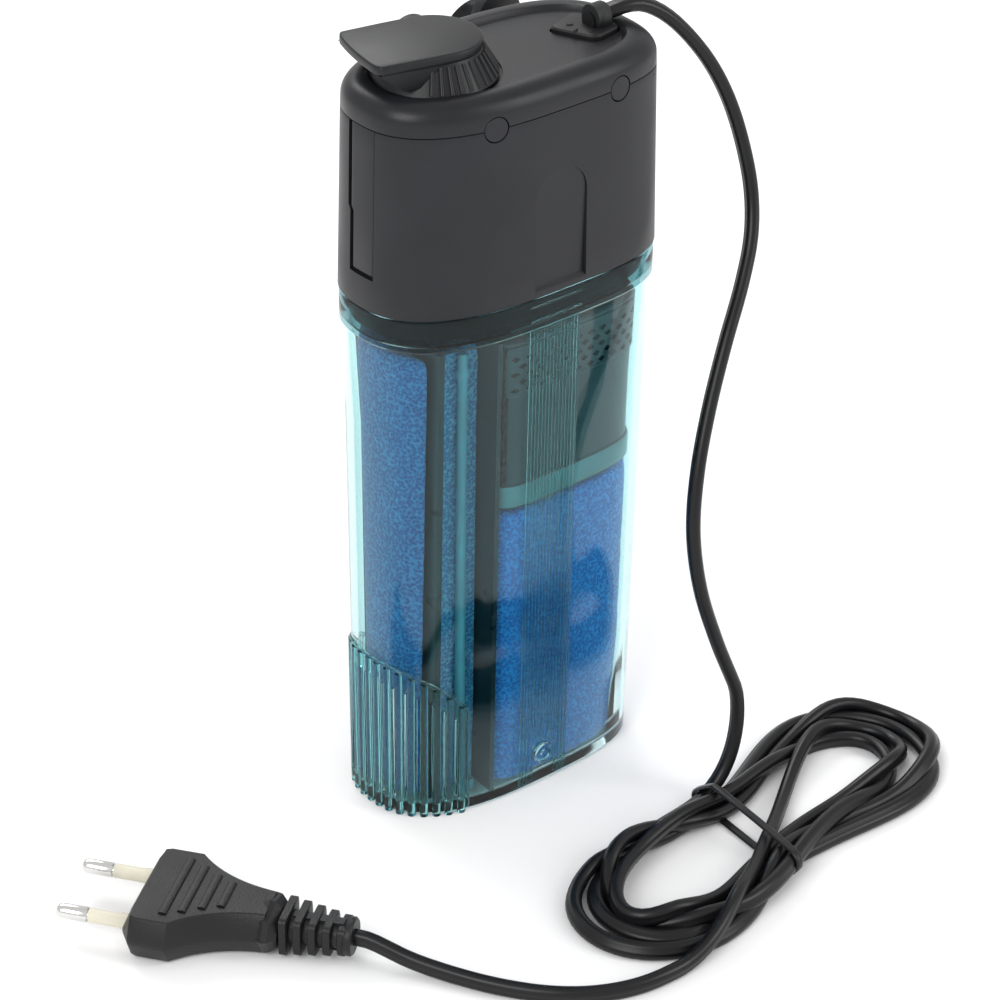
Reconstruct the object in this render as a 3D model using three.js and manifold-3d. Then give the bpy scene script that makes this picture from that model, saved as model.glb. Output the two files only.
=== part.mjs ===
// Internal power filter for an aquarium: pump head, clear media canister, wall bracket and mains lead.
// Millimetres, +Z up. The origin is the middle of the canister's base. -Y is the front, -X the outlet end.
import * as THREE from 'three';
import { mergeVertices } from 'three/addons/utils/BufferGeometryUtils.js';
import Module from 'manifold-3d';

const wasm = await Module();
wasm.setup();

// Overall sizes.
const bodyHalfLength = 42.4;
const bodyHalfDepth = 24.3;
const canisterHeight = 151;
const headHeight = 48.5;
const lidHeight = 8;

// Plan shape: a superellipse whose corners have powers of their own.
const roundEndPower = 2.5;
const frontCornerPower = 3.8;
const backCornerPower = 2.7;
const planSteps = 44;

// Walls and clearances.
const canisterWall = 1.8;
const canisterFloor = 2.5;
const headWall = 2.2;
const headFloor = 2.2;
const gap = 0.3;
const seamGap = 0.15;
const slideGap = 0.5;

// Canister.
const baseTaper = 0.95;
const collarHeight = 8.5;
const collarLip = 0.9;
const spigotHeight = 6.5;
const spigotWall = 1.8;
const sealHeight = 1.6;
const sealDepth = 0.9;
const partitionX = [-29.2, -14.3];
const partitionThickness = 1.3;
const intakeSlotCount = 9;
const intakeSlotWidth = 1.8;
const intakeHeight = 36;
const gripLeft = -6.3;
const gripRight = 9;
const gripDepth = 0.5;
const drainRadius = 3;
const drainHeight = 9.8;

// Media.
const topRoom = 11;
const mediaBottom = 3.2;
const carbonHeight = 51;
const carbonWall = 1.2;
const roundEndGap = 3;
const pullRodRadius = 1.3;
const pullRodX = -21.5;
const pullRodFoot = 8;

// Pump.
const rotorX = 8;
const rotorRadius = 6.4;
const rotorLength = 19;
const shaftRadius = 1.2;
const impellerRadius = 9.5;
const impellerHeight = 9;
const bladeCount = 6;
const chamberWall = 1.6;
const wellWall = 0.8;
const inletRadius = 6;
const statorHeight = 15;
const statorLimb = 5.5;
const yokeWidth = 5.5;
const coilBuild = 3;

// Outlet nozzle.
const nozzleX = -17.5;
const nozzleY = 2;
const nozzleTurn = -12;
const nozzleBaseRadius = 16;
const nozzleTopRadius = 12;
const nozzleHeight = 9.4;
const beakLength = 21;
const plateThickness = 2.4;
const spigotRadius = 8.4;
const ductWall = 1.4;

// Lid.
const rimRounding = 5;
const rimWidth = 1.6;
const dishDepth = 1.5;
const deckThickness = 2;
const lidPlugRadius = 3.2;
const lidPlugLength = 3.5;
const lidPlugX = [-17.5, 20.8];

// Wall bracket and suction cups.
const railX = 11.5;
const railNeck = 9;
const railFlange = 14;
const railHeight = 28;
const railDepth = 2;
const bracketPlate = 3;
const earX = [-2, 25];
const earWidth = 14;
const cupRadius = 11;
const cupDepth = 7;

// Mains lead.
const leadRadius = 2.2;
const hankHeight = 11;
const hankEnds = [[-8, -81, 19.5], [71, -70, 24]];
const tieWidth = 3.5;
const tieThickness = 0.6;

// Plug, to the size that all flat two-pin plugs share.
const pinLength = 19;
const pinSpacing = 19;
const pinRadius = 2;
const sleeveLength = 10;
const plugThickness = 13.7;
const plugWidth = 35.3;
const plugLength = 35;
const reliefLength = 22;
const plugFront = new THREE.Vector2(-117, -4.6);
const plugTurn = 126;

// Heights that follow from the sizes above.
const headBottom = canisterHeight;
const seam = headBottom + headHeight;
const lidTop = seam + lidHeight;
const deckTop = lidTop - dishDepth;
const collarBottom = canisterHeight - collarHeight;
const mediaTop = canisterHeight - topRoom;
const carbonBottom = mediaTop - carbonHeight;
const headHalfLength = bodyHalfLength + 0.2;
const headHalfDepth = bodyHalfDepth + 0.2;
const seamDraft = 1;
const spigotHalfLength = bodyHalfLength - canisterWall - gap;
const spigotHalfDepth = bodyHalfDepth - canisterWall - gap;
const nozzleBottom = deckTop + gap;
const plateBottom = nozzleBottom + nozzleHeight - plateThickness;
const channelBottom = nozzleBottom + 2;
const channelHalfWidth = nozzleTopRadius - 3.5;
const chamberBottom = headBottom + headFloor + gap;
const chamberTop = chamberBottom + impellerHeight + 2.6;
const wellTop = chamberTop + rotorLength + 6;
const chamberRadius = impellerRadius + 2;
const wellRadius = rotorRadius + 0.8;

const filter = new THREE.Group();

// A point of the plan outline at an angle, for a given half length and half depth.
function planPoint(angle, halfLength, halfDepth) {
  const cosine = Math.cos(angle);
  const sine = Math.sin(angle);
  const cornerPower = sine < 0 ? frontCornerPower : backCornerPower;
  const power = cosine < 0 ? roundEndPower : cornerPower;
  const x = halfLength * Math.sign(cosine) * Math.abs(cosine) ** (2 / power);
  const y = halfDepth * Math.sign(sine) * Math.abs(sine) ** (2 / power);
  return [x, y];
}

// How far in front of the middle line the outline lies at x.
function frontReach(x, halfLength, halfDepth) {
  const power = x < 0 ? roundEndPower : frontCornerPower;
  return halfDepth * (1 - Math.abs(x / halfLength) ** power) ** (1 / power);
}

// A closed solid through plan outlines, each given as [z, half length, half depth].
function loft(levels) {
  const positions = [];
  const index = [];
  for (const [z, halfLength, halfDepth] of levels) {
    for (let step = 0; step < planSteps; step += 1) {
      const angle = (2 * Math.PI * (step + 0.5)) / planSteps;
      positions.push(...planPoint(angle, halfLength, halfDepth), z);
    }
  }
  const bottomCentre = positions.length / 3;
  positions.push(0, 0, levels[0][0]);
  positions.push(0, 0, levels[levels.length - 1][0]);
  const topRing = (levels.length - 1) * planSteps;
  for (let step = 0; step < planSteps; step += 1) {
    const next = (step + 1) % planSteps;
    index.push(bottomCentre, next, step);
    index.push(bottomCentre + 1, topRing + step, topRing + next);
    for (let ring = 0; ring < topRing; ring += planSteps) {
      index.push(ring + step, ring + next, ring + planSteps + next);
      index.push(ring + step, ring + planSteps + next, ring + planSteps + step);
    }
  }
  const geometry = new THREE.BufferGeometry();
  geometry.setAttribute('position', new THREE.Float32BufferAttribute(positions, 3));
  geometry.setIndex(index);
  return solid(geometry);
}

function solid(geometry) {
  const bare = geometry.clone();
  bare.deleteAttribute('normal');
  bare.deleteAttribute('uv');
  const merged = mergeVertices(bare, 1e-4);
  const vertProperties = new Float32Array(merged.attributes.position.array);
  const triVerts = new Uint32Array(merged.index.array);
  return new wasm.Manifold(new wasm.Mesh({ numProp: 3, vertProperties, triVerts }));
}

function toGeometry(manifold) {
  const mesh = manifold.getMesh();
  const geometry = new THREE.BufferGeometry();
  geometry.setAttribute('position', new THREE.BufferAttribute(new Float32Array(mesh.vertProperties), 3));
  geometry.setIndex(new THREE.BufferAttribute(new Uint32Array(mesh.triVerts), 1));
  geometry.computeVertexNormals();
  return geometry;
}

function box(x0, x1, y0, y1, z0, z1) {
  const geometry = new THREE.BoxGeometry(x1 - x0, y1 - y0, z1 - z0);
  geometry.translate((x0 + x1) / 2, (y0 + y1) / 2, (z0 + z1) / 2);
  return solid(geometry);
}

// A cylinder or cone standing on Z at (x, y).
function post(x, y, z0, z1, radius, topRadius = radius, sides = 24) {
  const geometry = new THREE.CylinderGeometry(topRadius, radius, z1 - z0, sides);
  geometry.rotateX(Math.PI / 2);
  geometry.translate(x, y, (z0 + z1) / 2);
  return solid(geometry);
}

// A cylinder lying along Y.
function crossPost(x, z, y0, y1, radius, sides = 24) {
  const geometry = new THREE.CylinderGeometry(radius, radius, y1 - y0, sides);
  geometry.translate(x, (y0 + y1) / 2, z);
  return solid(geometry);
}

// A cylinder lying along X.
function axlePost(y, z, x0, x1, radius, sides = 20) {
  const geometry = new THREE.CylinderGeometry(radius, radius, x1 - x0, sides);
  geometry.rotateZ(Math.PI / 2);
  geometry.translate((x0 + x1) / 2, y, z);
  return solid(geometry);
}

function upright(shape, z0, z1) {
  const geometry = new THREE.ExtrudeGeometry(shape, { depth: z1 - z0, bevelEnabled: false, curveSegments: 10 });
  geometry.translate(0, 0, z0);
  return solid(geometry);
}

// A shape drawn in X and Z, run along Y.
function facing(shape, y0, y1) {
  const geometry = new THREE.ExtrudeGeometry(shape, { depth: y1 - y0, bevelEnabled: false, curveSegments: 8 });
  geometry.rotateX(Math.PI / 2);
  geometry.translate(0, y1, 0);
  return solid(geometry);
}

function archShape(centreX, halfWidth, z0, z1) {
  const shape = new THREE.Shape();
  shape.moveTo(centreX - halfWidth, z0);
  shape.lineTo(centreX + halfWidth, z0);
  shape.lineTo(centreX + halfWidth, z1 - halfWidth);
  shape.absarc(centreX, z1 - halfWidth, halfWidth, 0, Math.PI);
  shape.closePath();
  return shape;
}

function add(name, manifold, colour, roughness, metalness = 0, extra = {}) {
  const material = new THREE.MeshStandardMaterial({ color: colour, roughness, metalness, ...extra });
  const mesh = new THREE.Mesh(toGeometry(manifold), material);
  mesh.name = name;
  filter.add(mesh);
  return mesh;
}

const black = 0x24262b;
const rubber = 0x17181a;
const clearTeal = { transparent: true, opacity: 0.35 };

// Outside half sizes of the canister below its collar.
function canisterHalf(z, inset) {
  const share = baseTaper + (1 - baseTaper) * (z / collarBottom);
  return [(bodyHalfLength - collarLip) * share - inset, (bodyHalfDepth - collarLip) * share - inset];
}

// What stands inside the canister between two heights, clear of its wall by a margin.
function insideCanister(z0, z1, margin, endMargin = 0) {
  const levelAt = (z) => {
    const [halfLength, halfDepth] = canisterHalf(z, canisterWall + margin);
    return [z, halfLength - endMargin, halfDepth];
  };
  return loft([levelAt(z0), levelAt(z1)]);
}

function canisterShell() {
  const collarHalf = [bodyHalfLength, bodyHalfDepth];
  const outside = loft([
    [0, ...canisterHalf(0, 1)],
    [1, ...canisterHalf(1, 0)],
    [collarBottom - collarLip, ...canisterHalf(collarBottom - collarLip, 0)],
    [collarBottom, ...collarHalf],
    [canisterHeight - seamGap, ...collarHalf],
  ]);
  const lowInside = loft([
    [canisterFloor, ...canisterHalf(canisterFloor, canisterWall)],
    [collarBottom, ...canisterHalf(collarBottom, canisterWall)],
    [collarBottom + 1, bodyHalfLength - canisterWall, bodyHalfDepth - canisterWall],
    [canisterHeight + 1, bodyHalfLength - canisterWall, bodyHalfDepth - canisterWall],
  ]);
  const frontFace = -canisterHalf(0, 0)[1];
  const grip = box(gripLeft, gripRight, frontFace - gripDepth, frontFace + 2, 0.5, collarBottom - 2);
  const gripBack = loft([
    [0, ...canisterHalf(0, -gripDepth)],
    [collarBottom, ...canisterHalf(collarBottom, -gripDepth)],
  ]);
  const gripRegion = box(gripLeft, gripRight, -bodyHalfDepth - 2, 0, 0.5, collarBottom - 2);
  let shell = outside.add(gripBack.intersect(gripRegion)).add(grip.intersect(gripBack)).subtract(lowInside);
  const drainX = (gripLeft + gripRight) / 2;
  shell = shell.subtract(crossPost(drainX, drainHeight, -bodyHalfDepth - 2, 0, drainRadius + gap));
  return shell.subtract(intakeSlots());
}

// Upright slots that fan round the canister's round end.
function intakeSlots() {
  const centreX = -bodyHalfLength + bodyHalfDepth;
  let slots = null;
  for (let number = 0; number < intakeSlotCount; number += 1) {
    const turn = Math.PI + (number - (intakeSlotCount - 1) / 2) * 0.28;
    const slot = new THREE.BoxGeometry(bodyHalfDepth, intakeSlotWidth, intakeHeight);
    slot.translate(bodyHalfDepth, 0, mediaBottom + 2 + intakeHeight / 2);
    slot.rotateZ(turn);
    slot.translate(centreX, 0, 0);
    slots = slots ? slots.add(solid(slot)) : solid(slot);
  }
  return slots;
}

function partition(x) {
  const half = partitionThickness / 2;
  const slice = box(x - half, x + half, -bodyHalfDepth, bodyHalfDepth, mediaBottom, mediaTop);
  return insideCanister(mediaBottom, mediaTop, gap).intersect(slice);
}

function mediaBlock(x0, x1, z0, z1, margin, endMargin) {
  const slice = box(x0, x1, -bodyHalfDepth, bodyHalfDepth, z0, z1);
  return insideCanister(z0, z1, margin, endMargin).intersect(slice);
}

function leftSponge() {
  const right = partitionX[0] - partitionThickness / 2 - slideGap;
  return mediaBlock(-bodyHalfLength, right, mediaBottom, mediaTop - 2, slideGap, roundEndGap);
}

function middleRange() {
  const half = partitionThickness / 2 + slideGap;
  return [partitionX[0] + half, partitionX[1] - half];
}

// The pull rod's centre, clear of the canister's front wall at its foot.
function pullRodY() {
  const inner = canisterHalf(0, canisterWall + slideGap);
  return -frontReach(pullRodX - pullRodFoot / 2, ...inner) + pullRodRadius + gap;
}

function middleSponge() {
  const [x0, x1] = middleRange();
  const rodY = pullRodY();
  const rodRoom = box(x0 - 1, x1 + 1, -bodyHalfDepth, rodY + pullRodRadius + gap, 0, canisterHeight);
  return mediaBlock(x0, x1, mediaBottom, mediaTop - 2, slideGap).subtract(rodRoom);
}

function pullRod() {
  const rodY = pullRodY();
  const half = pullRodFoot / 2;
  const rod = post(pullRodX, rodY, mediaBottom + 2, mediaTop - 2, pullRodRadius, pullRodRadius, 12);
  const foot = box(
    pullRodX - half, pullRodX + half, rodY - pullRodRadius, rodY + pullRodRadius, mediaBottom, mediaBottom + 3,
  );
  return rod.add(foot);
}

const rightStart = partitionX[1] + partitionThickness / 2 + slideGap;
const caseEnd = bodyHalfLength - 5.5;

function carbonCase() {
  const outside = mediaBlock(rightStart, caseEnd, carbonBottom, mediaTop - 3, slideGap);
  const lowEdge = carbonBottom + carbonWall;
  const left = rightStart + carbonWall;
  const inside = mediaBlock(left, caseEnd - carbonWall, lowEdge, mediaTop, slideGap + carbonWall);
  return outside.subtract(inside);
}

function carbonLid() {
  let lid = mediaBlock(rightStart, caseEnd, mediaTop - 3 + gap, mediaTop - 1.2, slideGap);
  const slotPitch = 8;
  for (let x = rightStart + slotPitch; x < caseEnd - slotPitch; x += slotPitch) {
    lid = lid.subtract(box(x, x + 2.5, -12, 12, mediaTop - 4, mediaTop));
  }
  return lid;
}

function carbonGranules() {
  const left = rightStart + carbonWall + gap;
  const right = caseEnd - carbonWall - gap;
  const margin = slideGap + carbonWall + gap;
  return mediaBlock(left, right, carbonBottom + carbonWall + gap, mediaTop - 3 - gap, margin);
}

function rightSponge() {
  return mediaBlock(rightStart, bodyHalfLength, mediaBottom, carbonBottom - 1, slideGap + 0.6);
}

function drainPlug() {
  const front = -canisterHalf(drainHeight, 0)[1] - gripDepth;
  const drainX = (gripLeft + gripRight) / 2;
  return crossPost(drainX, drainHeight, front - 0.6, front + canisterWall + gripDepth, drainRadius);
}

// Outside of the head casing, drawn in by an inset.
function headOutside(z0, z1, inset) {
  const halfAt = (z) => {
    const share = (seamDraft * (z - headBottom)) / headHeight;
    return [headHalfLength - share - inset, headHalfDepth - share - inset];
  };
  return loft([[z0, ...halfAt(z0)], [z1, ...halfAt(z1)]]);
}

// A thin panel let into the round end, with a wider groove at its back and foot.
const panelFront = -5.2;
const panelBack = 2.2;
const panelFoot = headBottom + 10;
const panelGroove = 1.2;

function panelRoom(frontGrow, backGrow) {
  const end = -bodyHalfLength;
  return box(end - 5, end + 12, panelFront - frontGrow, panelBack + backGrow, panelFoot - backGrow, seam + 2);
}

function endPanel() {
  const skin = headOutside(headBottom, seam, 0.2).subtract(headOutside(headBottom - 1, seam + 1, 1.1));
  return skin.intersect(panelRoom(0, 0)).subtract(box(-60, 60, -60, 60, seam - gap, seam + 9));
}

function headCasing() {
  let casing = headOutside(headBottom, seam, 0);
  const spigot = loft([
    [headBottom - spigotHeight, spigotHalfLength - 0.4, spigotHalfDepth - 0.4],
    [headBottom - spigotHeight + 1, spigotHalfLength, spigotHalfDepth],
    [headBottom + 0.5, spigotHalfLength, spigotHalfDepth],
  ]);
  const bore = [spigotHalfLength - spigotWall, spigotHalfDepth - spigotWall];
  casing = casing.add(spigot);
  casing = casing.subtract(loft([[headBottom - spigotHeight - 1, ...bore], [headBottom, ...bore]]));
  casing = casing.subtract(sealBand(-0.1, spigotHalfLength + 1, spigotHalfDepth + 1));
  casing = casing.subtract(headOutside(headBottom + headFloor, seam + 1, headWall));
  casing = casing.subtract(post(rotorX, 0, headBottom - 1, headBottom + headFloor + 1, chamberRadius + gap));
  const skin = headOutside(headBottom, seam, -1).subtract(headOutside(headBottom - 1, seam + 2, 1.4));
  casing = casing.subtract(skin.intersect(panelRoom(gap, panelGroove)));
  casing = casing.subtract(fingerRecess());
  casing = casing.subtract(lidPlugHoles());
  return casing.add(bracketRail());
}

// A scooped recess in the front, deepest at its foot.
function fingerRecess() {
  const centreX = (gripLeft + gripRight) / 2 + 0.6;
  const arch = facing(archShape(centreX, 8.2, headBottom + 2.5, headBottom + 33.5), -bodyHalfDepth - 4, 0);
  const cutter = new THREE.BoxGeometry(40, 20, 60);
  cutter.rotateX(THREE.MathUtils.degToRad(-2.6));
  cutter.translate(centreX, -headHalfDepth - 9.5, headBottom + 18);
  return arch.intersect(solid(cutter));
}

function sealBand(grow, halfLength, halfDepth) {
  const middle = headBottom - spigotHeight / 2;
  const z0 = middle - sealHeight / 2 + grow;
  const z1 = middle + sealHeight / 2 - grow;
  const inner = [spigotHalfLength - sealDepth - grow * -1, spigotHalfDepth - sealDepth - grow * -1];
  const outside = loft([[z0, halfLength, halfDepth], [z1, halfLength, halfDepth]]);
  return outside.subtract(loft([[z0 - 1, ...inner], [z1 + 1, ...inner]]));
}

function canisterSeal() {
  return sealBand(0, spigotHalfLength + 0.15, spigotHalfDepth + 0.15);
}

function lidPlugHoles() {
  let holes = null;
  for (const x of lidPlugX) {
    const hole = crossPost(x, seam + seamGap / 2, -bodyHalfDepth - 4, bodyHalfDepth + 4, lidPlugRadius + gap);
    holes = holes ? holes.add(hole) : hole;
  }
  return holes;
}

// Short round plugs that lock the lid to the casing across the seam.
function lidPlug(x, side) {
  const y0 = side < 0 ? -bodyHalfDepth - 3 : bodyHalfDepth - lidPlugLength - 1;
  const y1 = side < 0 ? -bodyHalfDepth + lidPlugLength + 1 : bodyHalfDepth + 3;
  const plug = crossPost(x, seam + seamGap / 2, y0, y1, lidPlugRadius);
  return plug.intersect(headOutside(seam - 6, seam + 6, 0));
}

function headLid() {
  const half = [headHalfLength - seamDraft, headHalfDepth - seamDraft];
  const inBy = (amount) => [half[0] - amount, half[1] - amount];
  let lid = loft([
    [seam + seamGap, ...inBy(0)],
    [lidTop - rimRounding, ...inBy(0.2)],
    [lidTop - rimRounding * 0.45, ...inBy(rimRounding * 0.22)],
    [lidTop - rimRounding * 0.12, ...inBy(rimRounding * 0.6)],
    [lidTop, ...inBy(rimRounding)],
  ]);
  const dish = inBy(rimRounding + rimWidth);
  lid = lid.subtract(loft([[deckTop, ...dish], [lidTop + 1, ...dish]]));
  lid = lid.subtract(post(nozzleX, nozzleY, deckTop, lidTop + 1, nozzleBaseRadius + 0.8, undefined, 32));
  lid = lid.subtract(loft([[seam - 1, ...inBy(headWall)], [deckTop - deckThickness, ...inBy(headWall + 1)]]));
  lid = lid.subtract(post(nozzleX, nozzleY, seam, lidTop, spigotRadius + slideGap));
  lid = lid.subtract(upright(glandShape(gap), seam, lidTop + 1));
  return lid.subtract(lidPlugHoles());
}

// The gland's outline on the deck, near the lid's square end.
const glandX = bodyHalfLength - 15.2;
const glandY = -1.8;
const leadExit = new THREE.Vector3(glandX + 4.2, -3, deckTop + 3.4);

function glandShape(grow) {
  const corners = [
    [-8 - grow, 4.6 + grow], [-2.5 - grow, -7.6 - grow], [7.4 + grow, -5.6 - grow], [3.4 + grow, 8 + grow],
  ];
  const shape = new THREE.Shape();
  corners.forEach(([x, y], number) => {
    if (number === 0) {
      shape.moveTo(glandX + x, glandY + y);
    } else {
      shape.lineTo(glandX + x, glandY + y);
    }
  });
  shape.closePath();
  return shape;
}

function cordGland() {
  const plate = upright(glandShape(0), deckTop - deckThickness - 1, deckTop + 0.8);
  const hood = axlePost(leadExit.y, leadExit.z - 0.6, leadExit.x - 6, leadExit.x, leadRadius + 2.2);
  const sink = box(-60, 60, -60, 60, deckTop, deckTop + 20);
  const room = axlePost(leadExit.y, leadExit.z, leadExit.x - 4, leadExit.x + 3, leadRadius + 1.2 + gap);
  return plate.add(hood.intersect(sink)).subtract(room);
}

function cordGrommet() {
  return axlePost(leadExit.y, leadExit.z, leadExit.x - 3.7, leadExit.x + 0.4, leadRadius + 1.2);
}

function bracketRail() {
  const back = headHalfDepth - seamDraft - 1;
  const neckEnd = headHalfDepth + 1.7;
  const z0 = headBottom + 11;
  const z1 = z0 + railHeight;
  const neck = box(railX - railNeck / 2, railX + railNeck / 2, back, neckEnd, z0, z1);
  return neck.add(box(railX - railFlange / 2, railX + railFlange / 2, neckEnd, neckEnd + railDepth, z0, z1));
}

function wallBracket() {
  const front = headHalfDepth + 0.5;
  const pocketFront = headHalfDepth + 1.7 - gap;
  const pocketBack = headHalfDepth + 1.7 + railDepth + gap;
  const back = pocketBack + bracketPlate;
  const z0 = headBottom + 11;
  const z1 = z0 + railHeight;
  const sleeveHalf = railFlange / 2 + 2.5;
  const sleeve = box(railX - sleeveHalf, railX + sleeveHalf, front, back, z0 - 3, z1 + 1);
  const top = seam + 6.5;
  const wing = box(earX[0] - earWidth / 2, earX[1] + earWidth / 2, back - bracketPlate, back, z0 + 10, z1 + 1);
  let bracket = sleeve.add(wing);
  for (const x of earX) {
    bracket = bracket.add(facing(archShape(x, earWidth / 2, z0 + 10, top), back - bracketPlate, back));
    bracket = bracket.subtract(crossPost(x, cupZ, back - bracketPlate - 1, back + 1, 3, 16));
  }
  const flangeHalf = railFlange / 2 + gap;
  const neckHalf = railNeck / 2 + gap;
  bracket = bracket.subtract(box(railX - flangeHalf, railX + flangeHalf, pocketFront, pocketBack, z0 - gap, top));
  return bracket.subtract(box(railX - neckHalf, railX + neckHalf, front - 1, pocketFront + 0.5, z0 - gap, top));
}

const cupZ = seam - 10;

// A suction cup with a stem that buttons through the bracket's ear.
function suctionCup(x) {
  const ear = headHalfDepth + 1.7 + railDepth + gap;
  const back = ear + bracketPlate + gap;
  const points = [
    [0, ear - 2], [3.3, ear - 2], [3.6, ear - 1], [3.4, ear - gap], [2.7, ear - gap], [2.7, back],
    [5, back], [5.4, back + 1.6], [cupRadius - 2, back + cupDepth - 1.4], [cupRadius, back + cupDepth],
    [cupRadius - 2.4, back + cupDepth], [4, back + cupDepth - 3.2], [0, back + cupDepth - 3.6],
  ];
  const geometry = new THREE.LatheGeometry(points.map(([r, y]) => new THREE.Vector2(r, y)), 20);
  geometry.translate(x, 0, cupZ);
  return solid(geometry);
}

function outletNozzle() {
  const base = post(0, 0, nozzleBottom, plateBottom + 0.1, nozzleBaseRadius, nozzleTopRadius, 32);
  const plateShape = new THREE.Shape();
  plateShape.absarc(0, 0, nozzleTopRadius, -Math.PI / 2, Math.PI / 2);
  plateShape.lineTo(-beakLength, nozzleTopRadius);
  plateShape.lineTo(-beakLength, -nozzleTopRadius);
  plateShape.closePath();
  const plate = upright(plateShape, plateBottom, plateBottom + plateThickness);
  const side = new THREE.Shape();
  side.moveTo(0, channelBottom);
  side.lineTo(-nozzleTopRadius, channelBottom);
  side.lineTo(-beakLength + 1.5, plateBottom + 0.1);
  side.lineTo(0, plateBottom + 0.1);
  side.closePath();
  const cheeks = facing(side, -nozzleTopRadius, nozzleTopRadius);
  const spigot = post(0, 0, seam - 3, nozzleBottom + 0.1, spigotRadius);
  const channel = box(-beakLength - 4, 0, -channelHalfWidth, channelHalfWidth, channelBottom, plateBottom);
  const bore = post(0, 0, seam - 4, plateBottom, spigotRadius - ductWall);
  const nozzle = base.add(plate).add(cheeks).add(spigot).subtract(channel).subtract(bore);
  return nozzle.rotate([0, 0, nozzleTurn]).translate([nozzleX, nozzleY, 0]);
}

// The duct that carries water from the impeller chamber up to the nozzle.
function riserDuct() {
  const outerRadius = spigotRadius + ductWall + gap;
  const bottom = chamberBottom;
  const top = deckTop - deckThickness - gap;
  const tunnelEnd = rotorX - chamberRadius - chamberWall - gap;
  const tunnelTop = chamberTop - 1;
  const outside = post(nozzleX, nozzleY, bottom, top, outerRadius)
    .add(box(nozzleX, tunnelEnd, -6.5, 6.5, bottom, tunnelTop));
  const bore = post(nozzleX, nozzleY, bottom + ductWall, top + 1, spigotRadius + gap);
  const tunnel = box(nozzleX, tunnelEnd + 1, -5, 5, bottom + ductWall, tunnelTop - ductWall);
  return outside.subtract(bore).subtract(tunnel);
}

function impellerChamber() {
  const outside = post(rotorX, 0, chamberBottom, chamberTop, chamberRadius + chamberWall);
  const inside = post(rotorX, 0, chamberBottom - 1, chamberTop - chamberWall, chamberRadius);
  const neck = post(rotorX, 0, chamberTop - 3, chamberTop + 1, wellRadius);
  const outlet = box(rotorX - 20, rotorX, -5, 5, chamberBottom + 1.4, chamberTop - 1 - 1.4);
  return outside.subtract(inside).subtract(neck).subtract(outlet);
}

function impellerCover() {
  const disc = post(rotorX, 0, headBottom + gap, headBottom + headFloor, chamberRadius);
  const inlet = post(rotorX, 0, headBottom - 1, headBottom + 5, inletRadius);
  const hub = post(rotorX, 0, headBottom + gap, headBottom + headFloor, 3.2);
  const armReach = inletRadius + 1;
  const arms = box(rotorX - armReach, rotorX + armReach, -0.7, 0.7, headBottom + gap, headBottom + headFloor)
    .add(box(rotorX - 0.7, rotorX + 0.7, -armReach, armReach, headBottom + gap, headBottom + headFloor));
  const bushRoom = post(rotorX, 0, headBottom - 1, headBottom + 5, 2.4, 2.4, 20);
  return disc.subtract(inlet).add(hub).add(arms).subtract(bushRoom);
}

function rotorWell() {
  const outside = post(rotorX, 0, chamberTop + gap, wellTop, wellRadius + wellWall)
    .add(post(rotorX, 0, chamberTop + gap, chamberTop + 1.8, chamberRadius));
  return outside.subtract(post(rotorX, 0, chamberTop - 1, wellTop - wellWall, wellRadius));
}

function bush(z0, z1) {
  const ring = post(rotorX, 0, z0, z1, 2.2, 2.2, 20);
  return ring.subtract(post(rotorX, 0, z0 - 1, z1 + 1, shaftRadius + 0.05, undefined, 20));
}

const upperBushTop = wellTop - wellWall - 0.1;
const lowerBushTop = headBottom + headFloor;

function rotorShaft() {
  return post(rotorX, 0, headBottom + 0.5, upperBushTop - 0.1, shaftRadius, shaftRadius, 20);
}

function magnetRotor() {
  const z0 = chamberTop + 1;
  const magnet = post(rotorX, 0, z0, z0 + rotorLength, rotorRadius);
  return magnet.subtract(post(rotorX, 0, z0 - 1, z0 + rotorLength + 1, shaftRadius + 0.1, undefined, 20));
}

function impeller() {
  const z0 = chamberBottom + 1;
  const z1 = z0 + impellerHeight;
  let wheel = post(rotorX, 0, z0, chamberTop + 1 - gap, 4).add(post(rotorX, 0, z1 - 1.2, z1, impellerRadius - 1));
  for (let number = 0; number < bladeCount; number += 1) {
    const blade = new THREE.BoxGeometry(impellerRadius - 3, 1.1, impellerHeight);
    blade.translate((impellerRadius + 3) / 2 - 0.2, 0, (z0 + z1) / 2);
    blade.rotateZ((2 * Math.PI * number) / bladeCount);
    blade.translate(rotorX, 0, 0);
    wheel = wheel.add(solid(blade));
  }
  return wheel.subtract(post(rotorX, 0, z0 - 1, chamberTop + 3, shaftRadius + 0.1, undefined, 20));
}

const statorZ = chamberTop + 3.5;
const statorInner = wellRadius + wellWall + gap;

// Where the casing's inner face lies at the back corner, for a given distance from the middle line.
function backCornerReach(y) {
  const halfLength = headHalfLength - seamDraft - headWall;
  const halfDepth = headHalfDepth - seamDraft - headWall;
  return halfLength * (1 - (y / halfDepth) ** backCornerPower) ** (1 / backCornerPower);
}

const statorOuter = statorInner + statorLimb;
const yokeX = backCornerReach(statorOuter + gap) - yokeWidth;

// A U-shaped stack of laminations: two limbs beside the rotor and a yoke that carries the coil.
function statorCore() {
  const top = statorZ + statorHeight;
  const whole = box(rotorX - 7, yokeX + yokeWidth, -statorOuter, statorOuter, statorZ, top);
  const room = box(rotorX - 8, yokeX, -statorInner, statorInner, statorZ - 1, top + 1);
  return whole.subtract(room);
}

function statorCoil() {
  const half = statorInner - 0.4;
  const outside = box(
    yokeX - gap - coilBuild, yokeX + yokeWidth + gap + coilBuild, -half, half,
    statorZ - gap - coilBuild, statorZ + statorHeight + gap + coilBuild,
  );
  return outside.subtract(box(
    yokeX - gap, yokeX + yokeWidth + gap, -half - 1, half + 1, statorZ - gap, statorZ + statorHeight + gap,
  ));
}

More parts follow.
